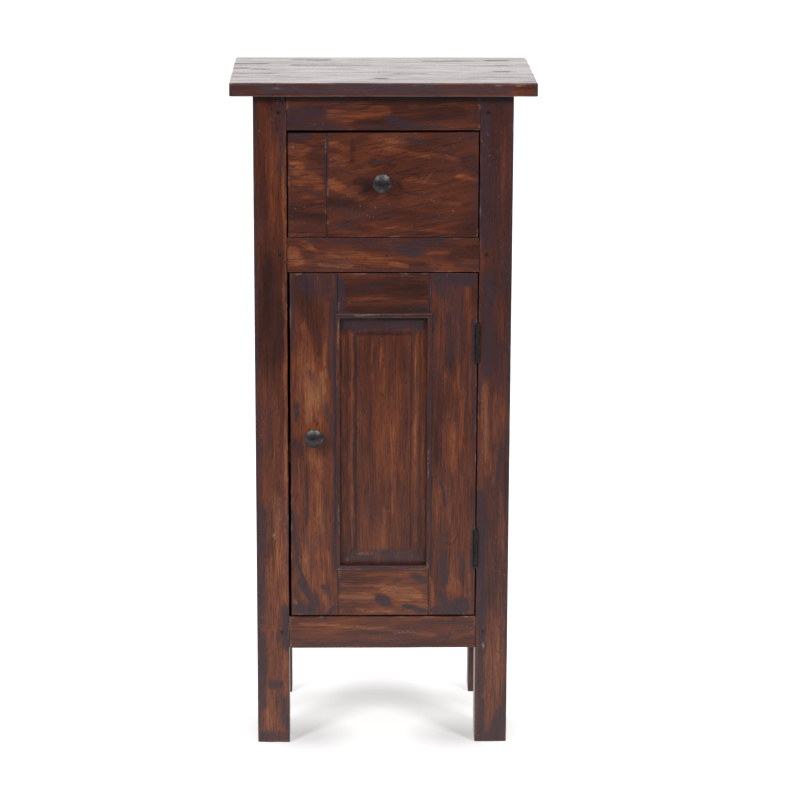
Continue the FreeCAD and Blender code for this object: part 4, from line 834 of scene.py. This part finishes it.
def panel_strokes_and_painted_shade(left, right, top):
    """The door panel's strokes, of which some follow the edges of its field. The dark lines along the field's
    edges and beside the bead are painted shade in those steps and creases, and the dark and light stripes
    down the sloping borders are painted shade and painted highlight.
    """
    return {
        SOOT_AND_SHADE: (
            (0.9, 7, -54, 592, 54, 592), (1.0, 2.0, -10, 591, -2, 590, 6, 591), (1.0, 2, 18, 593),
            # down the field's left and right edges: painted shade in the step
            (0.9, 1.4, left, 580, left, 470), (0.75, 1.4, left, 460, left + 0.5, 275),
            (0.8, 1.4, right, 580, right, 420), (0.5, 1.4, right, 400, right, 275),
            (0.5, 7, -50, 262, 50, 262), (1.0, 1.0, -12, 273, 10, 272.5), (0.7, 0.8, 12, 273, 34, 274.5),
            # along the frame's edges beside the bead: painted shade in the crease
            (1.0, 2.2, -60, 600, -60, 255), (1.0, 2.2, 61, 600, 61, 255), (1.0, 1.6, -58, 601, 60, 601),
            (1.0, 1.4, -58, 252, 60, 252),
        ),
        WARM_AND_LIT: (
            # light stripes down the sloping borders: painted highlights
            (0.75, 2.4, -54, 585, -54, 270), (0.6, 2.4, -41, 575, -41, 280), (0.6, 2.4, 44, 570, 44, 290),
            (0.6, 2.6, 56, 540, 56, 280), (0.5, 3, -50, 262, -44, 259), (0.9, 1.4, -33, 271, -14, 270.5),
            (0.5, 5, -2, 560, 1, 500), (0.45, 5, 12, 450, 14, 330), (0.5, 4, 2, 330, 0, 280),
            (0.45, 4, -14, 560, -14, 520),
        ),
        DEEP_AND_SHADE: (
            (1.0, 2.0, -14, 591, 0, 592, 10, 589), (1.0, 1.6, 16, 595, 24, 593, 32, 596, 42, 591),
            # along the field's left and top edges: painted shade in the step
            (1.0, 3, left - 2, 582, left - 1.5, 270), (1.0, 1.8, left + 1.5, top, right, top),
            # dark stripes down the middle of the sloping borders: painted shade
            (0.9, 2.6, -47.5, 590, -47.5, 268), (0.8, 2.4, 50, 590, 50, 268), (0.6, 8, -40, 264, 40, 264),
            (0.5, 7, -22, 572, -20, 420), (0.5, 6, 28, 572, 28, 400),
        ),
        PALE_AND_HIGHLIGHT: (
            (0.3, 1.6, -52, 599, -10, 599), (0.35, 0.6, -32, 272.5, -27, 271), (0.5, 1.0, -42, 472),
            (0.3, 1.0, -57, 596, -50, 598), (0.5, 0.8, 46, 301),
        ),
    }


# How much darker or lighter a board is than its neighbours: the upper ones darker and the lower ones lighter,
# painted shade and painted light over some tone of their own
RAIL_TONE_AND_SHADE = {"front_top_rail": 0.09, "front_mid_rail": 0.02, "front_bottom_rail": -0.02}
DOOR_TONE_AND_SHADE = {
    "door_stile_left": -0.03, "door_stile_right": 0.0, "door_rail_top": 0.07, "door_rail_bottom": -0.08,
}

# Operators

# Distance between the mesh's points on boards away from the front, and on the top
COARSE = 4
TOP_STEP = 2.0


class TABLE_OT_legs(bpy.types.Operator):
    """Four square legs with worn arrises, the hinge leg hollowed round the barrels"""

    bl_idname = "side_table.legs"
    bl_label = "Legs"

    def execute(self, context):
        sizes, colours = context.scene.table_sizes, context.scene.table_colours
        for n, name in enumerate(LEG_STROKES):
            wood = stained_wood(
                f"stained_{name}", Z, 1 + n, colours, soot=0.4, tint=0.25 * (n % 2), streak=0.34)
            board(
                name, "cabinet", *span(name), wood, Z, 11 + n, sizes.leg_round / MM,
                sizes.mesh_step / MM if "front" in name else COARSE, LEG_STROKES[name], dark_edges=0.75,
                **hollowed() if name == "front_right_leg" else {})
        return {"FINISHED"}


# From the rail's faces, and from its edges, to those of its tenon
RAIL_CHEEK = 6
RAIL_SHOULDER = 7
# Degrees by which the rails' grain is tilted, one way and the other in turn
RAIL_TILT = 3


class TABLE_OT_rails(bpy.types.Operator):
    """Rails of the front, the back and the sides, with their tenons"""

    bl_idname = "side_table.rails"
    bl_label = "Rails"

    def execute(self, context):
        sizes, colours = context.scene.table_sizes, context.scene.table_colours
        across = span("front_left_leg")[1][X], span("front_right_leg")[0][X]
        back = span("front_left_leg")[1][Y], span("rear_left_leg")[0][Y]
        for n, name in enumerate(sorted(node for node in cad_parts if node.endswith("rail"))):
            axis, shoulders = (Y, back) if "side" in name else (X, across)
            inset = np.array([RAIL_CHEEK, RAIL_CHEEK, RAIL_SHOULDER])
            inset[axis] = 0
            low, high, tenons = tenoned(*span(name), axis, shoulders, inset, inset)
            wood = stained_wood(
                f"stained_{name}", axis, 7 + n, colours, tilt=RAIL_TILT * (-1) ** n,
                depth=RAIL_TONE_AND_SHADE.get(name, 0.0), streak=0.24 if "bottom" in name else 0.38)
            board(
                name, "cabinet", low, high, wood, axis, 31 + n, sizes.rail_round / MM,
                sizes.mesh_step / MM if name in RAIL_STROKES else COARSE, RAIL_STROKES.get(name, ()),
                tenons=tenons)
        return {"FINISHED"}


PANEL_ROUND = 0.4


class TABLE_OT_panels(bpy.types.Operator):
    """Flat panels of the sides and the back"""

    bl_idname = "side_table.panels"
    bl_label = "Side and back panels"

    def execute(self, context):
        colours = context.scene.table_colours
        for n, name in enumerate(("left_side_panel", "right_side_panel", "back_panel")):
            wood = stained_wood(f"stained_{name}", Z, 21 + n, colours, soot=0.6, wave=16)
            board(
                name, "cabinet", *span(name), wood, Z, 51 + n, PANEL_ROUND, COARSE, dark_edges=0.0,
                uneven=0.25)
        return {"FINISHED"}


# A dowel with both ends eased, the outer one a little proud
PEG = [(0, 0), (2.6, 0), (3.0, 0.6), (3.0, 25.6), (2.7, 26.0), (1.6, 26.25), (0, 26.3)]
PEG_LENGTH = 26
# From the rail's shoulder to the peg's middle
PEG_SETBACK = 10


class TABLE_OT_pegs(bpy.types.Operator):
    """Dowels through the tenons, a little proud and dark with stain"""

    bl_idname = "side_table.pegs"
    bl_label = "Joint pegs"

    def execute(self, context):
        low, high = span("joint_pegs")
        peg, faces = turned(PEG, (0, 0, 0), 24)
        flipped = [face[::-1] for face in faces]
        across = span("front_right_leg")[0][X] + PEG_SETBACK
        back = span("front_left_leg")[1][Y] - PEG_SETBACK, span("rear_left_leg")[0][Y] + PEG_SETBACK
        rails = [span(f"front_{level}_rail") for level in ("top", "mid", "bottom")]
        levels = [(rail_low[Z] + rail_high[Z]) / 2 for rail_low, rail_high in rails]
        # the back and the sides have no middle rail
        outer = levels[::2]
        shells = []
        for x in (-across, across):
            shells += [(peg + (x, low[Y] + PEG_LENGTH, z), faces) for z in levels]
            shells += [(peg * (1, -1, 1) + (x, high[Y] - PEG_LENGTH, z), flipped) for z in outer]
        for side, sides in ((1, faces), (-1, flipped)):
            # laid along X, with its outer end on that side
            laid = np.stack([-side * peg[:, Y], peg[:, X], peg[:, Z]], 1)
            laid[:, X] += side * (high[X] - PEG_LENGTH)
            shells += [(laid + (0, y, z), sides) for y in back for z in outer]
        wood = stained_wood("stained_peg_ends", Y, 30, context.scene.table_colours, depth=0.5, soot=0.0)
        piece("joint_pegs", "cabinet", "stained_wood", shells, wood)
        return {"FINISHED"}


def knocked(points, high, radius):
    """The points of the rear right corner, drawn in to a circle that touches both edges."""
    centre = high[:2] - radius
    away = np.maximum(points[:, :2] - centre, 0)
    reach = np.linalg.norm(away, axis=1, keepdims=True)
    past = (away > 0).all(axis=1)
    out = points.copy()
    out[past, :2] = (centre + away * np.minimum(1, radius / np.maximum(reach, 1e-6)))[past]
    return out


class TABLE_OT_top(bpy.types.Operator):
    """Three boards of the top, lacquered, one rear corner knocked round"""

    bl_idname = "side_table.top"
    bl_label = "Top"

    def execute(self, context):
        sizes, colours = context.scene.table_sizes, context.scene.table_colours
        ends = span("top_board_front")[0][Y], span("top_board_rear")[1][Y]
        for n, name in enumerate(TOP_STROKES):
            low, high = span(name)
            corner = {}
            if name == "top_board_rear":
                # mesh lines every millimetre near the corner
                close = [np.arange(high[axis] - 12, high[axis], 1.0) for axis in (X, Y)]
                corner = {
                    "extra": (*close, ()),
                    "form": lambda points: knocked(points, high, sizes.top_corner / MM),
                }
            wood = stained_wood(
                f"lacquered_{name}", X, 41 + n, colours, soot=0.6, wave=3, dull=0.5, bright=0.1, matt=0.45,
                coat=0.9, polish=1.7, sheen_colour=colours.lacquer)
            board(
                name, "cabinet", low, high, wood, X, 61 + n, sizes.top_round / MM, TOP_STEP,
                () if n else TOP_EDGE_STROKES, TOP_STROKES[name], dark_edges=0.4, wander=1.6,
                seams=[edge for edge in (low[Y], high[Y]) if ends[0] + 1 < edge < ends[1] - 1], **corner)
        return {"FINISHED"}


# The drawer front's ends stop short of the sides' tails, which stand out of them as lapped dovetails do
TAILS_PROUD = 0.15
# Its mesh step as a share of the other front boards', and the tilt of its two boards' grain in degrees
DRAWER_FINER = 0.8
DRAWER_TILTS = 4, 12


class TABLE_OT_drawer(bpy.types.Operator):
    """The drawer front, two boards glued end to end"""

    bl_idname = "side_table.drawer"
    bl_label = "Drawer front"

    def execute(self, context):
        sizes, colours = context.scene.table_sizes, context.scene.table_colours
        left, foot = span("drawer_front_left")[0][X], span("drawer_front_right")[0][Z]
        right, _, top = span("drawer_front_right")[1]

        def slanted(points):
            """Heights stretched so that the top edge rises from left to right, its middle where it was."""
            share = (points[:, X] - left) / (right - left) - 0.5
            out = points.copy()
            out[:, Z] += share * (sizes.drawer_slant / MM) * (points[:, Z] - foot) / (top - foot)
            return out

        for n, name in enumerate(DRAWER_STROKES):
            low, high = span(name)
            if n:
                high[X] -= TAILS_PROUD
            else:
                low[X] += TAILS_PROUD
            wood = stained_wood(
                f"stained_{name}", X, 50 + n * 3, colours, tilt=DRAWER_TILTS[n], depth=0.05, soot=0.25,
                wave=16, streak=0.32)
            board(
                name, "drawer", low, high, wood, X, 71 + n, sizes.rail_round / MM,
                sizes.mesh_step / MM * DRAWER_FINER, DRAWER_STROKES[name], form=slanted, dark_edges=0.6,
                wander=1.6)
        return {"FINISHED"}


# Door rail to its tenon: from the front, from the back, and from the edges
DOOR_FRONT_CHEEK = 7
DOOR_BACK_CHEEK = 6
DOOR_HAUNCH = 8
# The door frame's rounding, as a share of the rails'
DOOR_ROUNDER = 1.1


class TABLE_OT_door(bpy.types.Operator):
    """Stiles and rails of the door"""

    bl_idname = "side_table.door"
    bl_label = "Door frame"

    def execute(self, context):
        sizes, colours = context.scene.table_sizes, context.scene.table_colours
        inner = span("door_stile_left")[1][X], span("door_stile_right")[0][X]
        for n, name in enumerate(sorted(DOOR_STROKES)):
            low, high = span(name)
            grain, tenons = Z, []
            if "rail" in name:
                grain = X
                front, back = (0, DOOR_FRONT_CHEEK, DOOR_HAUNCH), (0, DOOR_BACK_CHEEK, DOOR_HAUNCH)
                low, high, tenons = tenoned(low, high, X, inner, front, back)
            wood = stained_wood(
                f"stained_{name}", grain, 60 + n * 2, colours, depth=DOOR_TONE_AND_SHADE[name], soot=0.3, streak=0.38)
            board(
                name, "door", low, high, wood, grain, 81 + n, sizes.rail_round / MM * DOOR_ROUNDER,
                sizes.mesh_step / MM, DOOR_STROKES[name], dark_edges=0.7, tenons=tenons, wander=1.8,
                **hollowed() if name == "door_stile_right" else {})
        return {"FINISHED"}


# Thickness of the panel's tongue, frame to field, rise of the sloping border, and step up to the field
TONGUE = 7.0
BORDER = 24.8
BORDER_RISE = 3.4
FIELD_STEP = 1.6
# Distance between the points of its mesh
PANEL_STEP = 2.2


class TABLE_OT_door_panel(bpy.types.Operator):
    """The raised and fielded panel. Its face is a height over the plane: it grows evenly from the frame to
    the field's edge, then by a small smooth step, and stays level over the field"""

    bl_idname = "side_table.door_panel"
    bl_label = "Door panel"

    def execute(self, context):
        low, high = span("door_panel")
        frame_low = np.array([span("door_stile_left")[1][X], span("door_rail_bottom")[1][Z]])
        frame_high = np.array([span("door_stile_right")[0][X], span("door_rail_top")[0][Z]])
        field_low, field_high = frame_low + BORDER, frame_high - BORDER
        tongue_face = high[Y] - TONGUE
        # lines of the mesh just inside the frame, and on both sides of the step
        lines = [
            [a + BORDER - 0.2, a + BORDER + 0.3, a + 0.1, b - BORDER - 0.3, b - BORDER + 0.2, b - 0.1]
            for a, b in zip(frame_low, frame_high)]
        flat, quads = lattice(
            steps(low[X], high[X], PANEL_STEP, PANEL_ROUND, lines[0]), np.array([tongue_face, high[Y]]),
            steps(low[Z], high[Z], PANEL_STEP, PANEL_ROUND, lines[1]))
        flat_xz = flat[:, [X, Z]]
        inset = np.minimum(flat_xz - frame_low, frame_high - flat_xz).min(axis=1)
        rise = BORDER_RISE * np.clip(inset / BORDER, 0, 1)
        rise += FIELD_STEP * ease(BORDER - 0.25, BORDER + 0.35, inset)
        front = flat[:, Y] < tongue_face + 0.1
        points = flat.copy()
        points[:, Y] -= np.where(front, rise + 0.12 * drift(flat, 30.0, 5), 0)
        strokes = panel_strokes_and_painted_shade(field_low[0], *field_high)
        marks = painted(flat, strokes, [X, Z], front.astype(float), Z, 1.2, 91)
        wood = stained_wood("stained_door_panel", Z, 70, context.scene.table_colours, soot=0.2, wave=7)
        piece("door_panel", "door", "stained_wood", [(points, quads)], wood, marks, smooth=25)
        return {"FINISHED"}


# Half the bead's width, radius of its two roundings, and its square lip under them
BEAD_HALF = 3.25
BEAD_TURN = 2.2
BEAD_LIP = 0.2
# How far the bead goes down inside the frame, and its glue line there
BEAD_TAIL = 4.4
BEAD_GLUE = 0.1


def bead_profile(face):
    """(inward, y) round the bead: its outer rounding, its inner one, and the tail inside the frame. Each
    rounding is a quarter circle."""
    angle = np.radians(np.linspace(0, 90, 7))
    inward = BEAD_HALF - BEAD_TURN * (1 - np.cos(angle))
    depth = face - BEAD_LIP - BEAD_TURN * np.sin(angle)
    tail = [[BEAD_HALF, face + BEAD_TAIL], [BEAD_GLUE, face + BEAD_TAIL], [BEAD_GLUE, face]]
    outer, inner = np.stack([-inward, depth], 1), np.stack([inward, depth], 1)[::-1]
    return np.concatenate([[[-BEAD_HALF, face]], outer, inner, tail])


class TABLE_OT_beads(bpy.types.Operator):
    """Mitred bead round the panel: a rounded profile carried along each side of the frame, every point of
    it starting and ending where it meets the next side's"""

    bl_idname = "side_table.beads"
    bl_label = "Beads"

    def execute(self, context):
        left, right = span("door_stile_left")[1][X], span("door_stile_right")[0][X]
        bottom, top = span("door_rail_bottom")[1][Z], span("door_rail_top")[0][Z]
        face = span("door_stile_left")[0][Y]
        inward, depth = bead_profile(face).T
        count = len(inward)
        sides = {
            "left": (X, left, 1, bottom, top), "right": (X, right, -1, bottom, top),
            "bottom": (Z, bottom, 1, left, right), "top": (Z, top, -1, left, right)}
        for n, (name, (axis, edge, way, start, end)) in enumerate(sides.items()):
            along = np.linspace(0, 1, int((end - start) / 3))[:, None]
            rows = len(along)
            across_at = edge + way * inward + 0 * along
            along_at = (start + inward) * (1 - along) + (end - inward) * along
            points = np.stack([across_at, depth + 0 * along, along_at], -1).reshape(-1, 3)
            if axis == Z:
                points = points[:, ::-1]
            proud = np.clip((face - points[:, Y]) / (BEAD_TURN + BEAD_LIP), 0, 1)
            # the crest worn down unevenly, by up to 0.6 mm
            points[:, Y] += proud * 0.3 * (1 + drift(points, 22.0, n))
            i, j = np.meshgrid(np.arange(rows - 1) * count, np.arange(count), indexing="ij")
            after = (j + 1) % count
            faces = np.stack([i + j, i + after, i + count + after, i + count + j], -1).reshape(-1, 4).tolist()
            faces += [list(range(count))[::-1], list(range((rows - 1) * count, rows * count))]
            if (way > 0) != (axis == X):
                faces = [side[::-1] for side in faces]
            crest = ease(0.75, 1.0, proud)
            marks = painted(points, BEAD_HIGHLIGHTS_AND_WEAR, [X, Z], crest, Z - axis, 0.6, 95)
            # the bead's sides dark with stain held in its hollows and painted shade beside the crest, the
            # crest lighter and warmer in patches, rubbed and with painted highlight
            marks[:, SOOT_AND_SHADE] = 0.95 - crest * (0.3 + 0.6 * ease(-0.4, 0.4, drift(points, 26.0, n + 5)))
            marks[:, WARM_AND_LIT] = 0.6 * crest * ease(-0.2, 0.5, drift(points, 18.0, n + 6))
            wood = stained_wood(
                f"stained_bead_{name}", Z - axis, 80 + n, context.scene.table_colours, depth=0.08, soot=0.6,
                dull=0.42, bright=0.3)
            piece(f"door_bead_{name}", "door", "stained_wood", [(points, faces)], wood, marks, smooth=35)
        return {"FINISHED"}


# Radii of the knob's foot, waist and rim, and how much the rim swells
KNOB_FOOT = 8
KNOB_WAIST = 5
KNOB_RIM = 12.6
KNOB_SWELL = 0.4
# Heights of its waist and of its rim's lower edge, then the rim's own, the crown's and the whole knob's
WAIST_HEIGHT = 6.5
RIM_LOW = 16.6
RIM_HEIGHT = 2.4
CROWN = 5
KNOB_HEIGHT = 24


def knob_profile():
    """(radius, height) up the knob: a quarter ellipse in from foot to waist, another out to the rim, the
    swelling rim, and a crown that is part of a sphere."""
    angle = np.radians(np.linspace(0, 90, 9))
    sine, hollow = np.sin(angle), 1 - np.cos(angle)
    foot = np.stack([KNOB_FOOT - (KNOB_FOOT - KNOB_WAIST) * sine, WAIST_HEIGHT * hollow], 1)
    under = np.stack([
        KNOB_WAIST + (KNOB_RIM - KNOB_WAIST) * hollow, WAIST_HEIGHT + (RIM_LOW - WAIST_HEIGHT) * sine], 1)
    rim = np.stack([
        KNOB_RIM + KNOB_SWELL * np.sin(angle * 2), RIM_LOW + RIM_HEIGHT * angle / angle[-1]], 1)
    sphere = (KNOB_RIM**2 + CROWN**2) / (2 * CROWN)
    turn = np.arcsin(KNOB_RIM / sphere) * np.linspace(1, 0, 13)
    crown = np.stack([sphere * np.sin(turn), KNOB_HEIGHT - sphere * (1 - np.cos(turn))], 1)
    return np.concatenate([[(0, 0)], foot, under[1:], rim[1:-1], crown])


class TABLE_OT_knobs(bpy.types.Operator):
    """Turned mushroom knobs in old pewter"""

    bl_idname = "side_table.knobs"
    bl_label = "Knobs"

    def execute(self, context):
        colours = context.scene.table_colours
        # antique pewter: cast, darkened and rubbed, so its crown has soft broad reflections
        pewter = metal("antique_pewter", colours.pewter_light, colours.pewter_dark, 0.42, 9.0)
        for name, body in (("drawer_knob", "drawer"), ("door_knob", "door")):
            low, high = span(name)
            foot = high[Y]
            points, faces = turned(knob_profile(), ((low[X] + high[X]) / 2, foot, (low[Z] + high[Z]) / 2), 72)
            # rim and crown a little uneven, as cast
            points[:, Y] += 0.05 * drift(points, 6.0, 7) * ease(15, 20, foot - points[:, Y])
            piece(name, body, "pewter", [(points, faces)], pewter, smooth=50)
        return {"FINISHED"}


INSIDE = {
    X: "cupboard_floor shelf floor_cleats drawer_back drawer_bottom door_stop_block".split(),
    Y: """shelf_cleats drawer_runner_left drawer_runner_right drawer_kicker_left drawer_kicker_right
        drawer_stops top_cleats drawer_side_left drawer_side_right""".split(),
}


class TABLE_OT_inside(bpy.types.Operator):
    """Bare planed wood for the boards and battens inside, and for the drawer's box"""

    bl_idname = "side_table.inside"
    bl_label = "Inside"

    def execute(self, context):
        colours = context.scene.table_colours
        for grain, names in INSIDE.items():
            for n, name in enumerate(names):
                dress(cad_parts[name], planed_wood(f"planed_{name}", grain, 90 + n, colours))
        return {"FINISHED"}


class TABLE_OT_hardware(bpy.types.Operator):
    """Black steel for the hinge leaves, zinc plate for pins, screws, bolts and catch"""

    bl_idname = "side_table.hardware"
    bl_label = "Hardware"

    def execute(self, context):
        colours = context.scene.table_colours
        # blackened steel: an oxide skin, rubbed to bare metal in places
        black = metal("blackened_steel", colours.black_steel, colours.black_oxide, 0.5, 2.5, metallic=0.4)
        # zinc plate: bright bluish metal with a faint crystal mottle
        zinc = metal("zinc_plated_steel", colours.zinc, colours.zinc_grey, 0.3, 0.8)
        for name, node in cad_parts.items():
            if "leaf" in name:
                dress(node, black)
            elif any(word in name for word in ("pins", "screws", "bolt", "magnet", "strike")):
                dress(node, zinc)
        return {"FINISHED"}


def seen_as_backdrop(tree, path):
    """1 for what the camera sees, straight or through glass."""
    rays = {0: path.outputs["Is Camera Ray"], 1: path.outputs["Is Transmission Ray"]}
    return add(tree, "Math", rays, operation="MAXIMUM")


def floor_paint(colour):
    """White studio paint. To the eye it glows a little, less under the table and least by the feet, so that
    the shadows stay: that dip of the glow is painted shade, which darkens the floor under the table and round
    the feet. In polish it shows white round the table and the dark of the room in front. From below it is
    clear."""
    material, tree = new_material("painted_floor")
    path = add(tree, "LightPath")
    spot = add(tree, "TexCoord").outputs["Object"]
    # an oval under the table, 0.2 to 0.33 m from its middle, where the glow is less: painted shade
    under = add(tree, "VectorMath", {0: spot, 1: (0, 0.06, 0)}, operation="ADD")
    under = add(tree, "VectorMath", {0: under, 1: (1.2, 1.3, 1)}, operation="MULTIPLY")
    under = add(tree, "VectorMath", {0: under}, operation="LENGTH").outputs["Value"]
    under = add(tree, "MapRange", {0: under, 1: 0.2, 2: 0.33, 3: 0.0, 4: 0.45})
    # both front feet at once: X without its sign, and Y from a line 1 m in front, where it has none; the glow
    # is least by them, painted shade round the feet
    foot = add(tree, "VectorMath", {0: spot, 1: (0, 1, 0)}, operation="ADD")
    foot = add(tree, "VectorMath", {0: foot}, operation="ABSOLUTE")
    foot = add(tree, "VectorMath", {0: foot, 1: (0.1, 0.915, 0)}, operation="DISTANCE").outputs["Value"]
    foot = add(tree, "MapRange", {0: foot, 1: 0.015, 2: 0.075, 3: 0.3, 4: 0.55})
    glow_with_painted_shade = add(tree, "Math", {0: under, 1: foot}, operation="ADD")
    glow_with_painted_shade = add(tree, "Math", {0: seen_as_backdrop(tree, path), 1: glow_with_painted_shade}, operation="MULTIPLY")
    paint = add(tree, "BsdfDiffuse", {"Color": colour})
    shine = add(tree, "Emission", {"Color": WHITE, "Strength": glow_with_painted_shade})
    lit = add(tree, "AddShader", {0: paint, 1: shine})
    depth = add(tree, "SeparateXYZ", {0: spot}).outputs["Y"]
    white = add(tree, "MapRange", {0: depth, 1: -2.3, 2: -0.2, 3: 0.0, 4: 0.95})
    mirrored = add(tree, "Emission", {"Color": WHITE, "Strength": white})
    lit = add(tree, "MixShader", {0: path.outputs["Is Glossy Ray"], 1: lit, 2: mirrored})
    below = add(tree, "NewGeometry").outputs["Backfacing"]
    clear = add(tree, "BsdfTransparent")
    both = add(tree, "MixShader", {0: below, 1: lit, 2: clear})
    add(tree, "OutputMaterial", {0: both})
    return material


def studio_room(sky):
    """The world: white to the eye, even light on the table, and in polish white behind, dim in front, with a
    bright soft box high on each side."""
    world = bpy.data.worlds.new("studio")
    world.use_nodes = True
    tree = world.node_tree
    tree.nodes.clear()
    path = add(tree, "LightPath")
    way = add(tree, "TexCoord").outputs["Generated"]
    depth = add(tree, "SeparateXYZ", {0: way}).outputs["Y"]
    shown = add(tree, "MapRange", {0: depth, 1: -0.1, 2: 0.45, 3: 0.2, 4: 1.0})
    for side in (-1, 1):
        near = add(tree, "VectorMath", {0: way, 1: (0.5 * side, -0.4, 0.77)}, operation="DOT_PRODUCT")
        box = add(tree, "MapRange", {0: near.outputs["Value"], 1: 0.9, 2: 0.96, 3: 0.0, 4: 4.0})
        shown = add(tree, "Math", {0: shown, 1: box}, operation="ADD")
    glossy = add(tree, "Math", {0: path.outputs["Is Glossy Ray"], 1: shown}, operation="MULTIPLY")
    white = add(tree, "Math", {0: seen_as_backdrop(tree, path), 1: glossy}, operation="MAXIMUM")
    diffuse = add(tree, "Math", {0: path.outputs["Is Diffuse Ray"], 1: sky}, operation="MULTIPLY")
    strength = add(tree, "Math", {0: white, 1: diffuse}, operation="ADD")
    add(tree, "OutputWorld", {0: add(tree, "Background", {"Color": WHITE, "Strength": strength})})
    return world


# Metres: half of the floor, and the lamps' size and what they point at
FLOOR_HALF = 20.0
LAMP_SIZE = 0.8
LAMP_AIM = Vector((0, 0, 0.5))


class TABLE_OT_stage(bpy.types.Operator):
    """Pale floor, soft lamps, room light and the camera"""

    bl_idname = "side_table.stage"
    bl_label = "Stage"

    def execute(self, context):
        scene, stage = context.scene, context.scene.table_stage
        mesh = bpy.data.meshes.new("floor")
        corners = [(FLOOR_HALF * x, FLOOR_HALF * y, 0) for x, y in ((-1, -1), (1, -1), (1, 1), (-1, 1))]
        mesh.from_pydata(corners, [], [(0, 1, 2, 3)])
        floor = bpy.data.objects.new("floor", mesh)
        scene.collection.objects.link(floor)
        dress(floor, floor_paint(scene.table_colours.floor))
        lamps = (
            ("left_lamp", (-2.2, -2.75, 2.5), stage.left_power),
            ("right_lamp", (2.2, -2.75, 2.4), stage.right_power),
        )
        for name, place, power in lamps:
            lamp = bpy.data.lights.new(name, "AREA")
            lamp.size = LAMP_SIZE
            lamp.energy = power
            holder = bpy.data.objects.new(name, lamp)
            holder.location = place
            holder.visible_glossy = False
            holder.rotation_euler = (LAMP_AIM - Vector(place)).to_track_quat("-Z", "Y").to_euler()
            scene.collection.objects.link(holder)
        scene.world = studio_room(stage.sky)
        camera = bpy.data.cameras.new("camera")
        camera.lens = stage.lens
        camera.sensor_width = 36
        camera.clip_end = 100
        eye = bpy.data.objects.new("camera", camera)
        eye.location = stage.camera_place
        eye.rotation_euler = stage.camera_turn
        scene.collection.objects.link(eye)
        scene.camera = eye
        scene.view_settings.view_transform = "Standard"
        return {"FINISHED"}


STEPS = (
    TABLE_OT_legs, TABLE_OT_rails, TABLE_OT_panels, TABLE_OT_pegs, TABLE_OT_top, TABLE_OT_drawer,
    TABLE_OT_door, TABLE_OT_door_panel, TABLE_OT_beads, TABLE_OT_knobs, TABLE_OT_inside, TABLE_OT_hardware,
    TABLE_OT_stage,
)


class TABLE_PT_steps(bpy.types.Panel):
    """Every step of the table in the sidebar, in order"""

    bl_idname = "TABLE_PT_steps"
    bl_label = "Side table"
    bl_space_type = "VIEW_3D"
    bl_region_type = "UI"
    bl_category = "Side table"

    def draw(self, context):
        for step in STEPS:
            self.layout.operator(step.bl_idname)


CLASSES = (TableColours, TableSizes, TableStage, *STEPS, TABLE_PT_steps)


def register():
    for kind in CLASSES:
        bpy.utils.register_class(kind)
    bpy.types.Scene.table_colours = PointerProperty(type=TableColours)
    bpy.types.Scene.table_sizes = PointerProperty(type=TableSizes)
    bpy.types.Scene.table_stage = PointerProperty(type=TableStage)


def unregister():
    del bpy.types.Scene.table_colours, bpy.types.Scene.table_sizes, bpy.types.Scene.table_stage
    for kind in reversed(CLASSES):
        bpy.utils.unregister_class(kind)


def corners(box):
    return [[float(x) for x in corner] for corner in box]


def main():
    register()
    for step in STEPS:
        group, name = step.bl_idname.split(".")
        getattr(getattr(bpy.ops, group), name)()


if __name__ == "__main__":
    main()
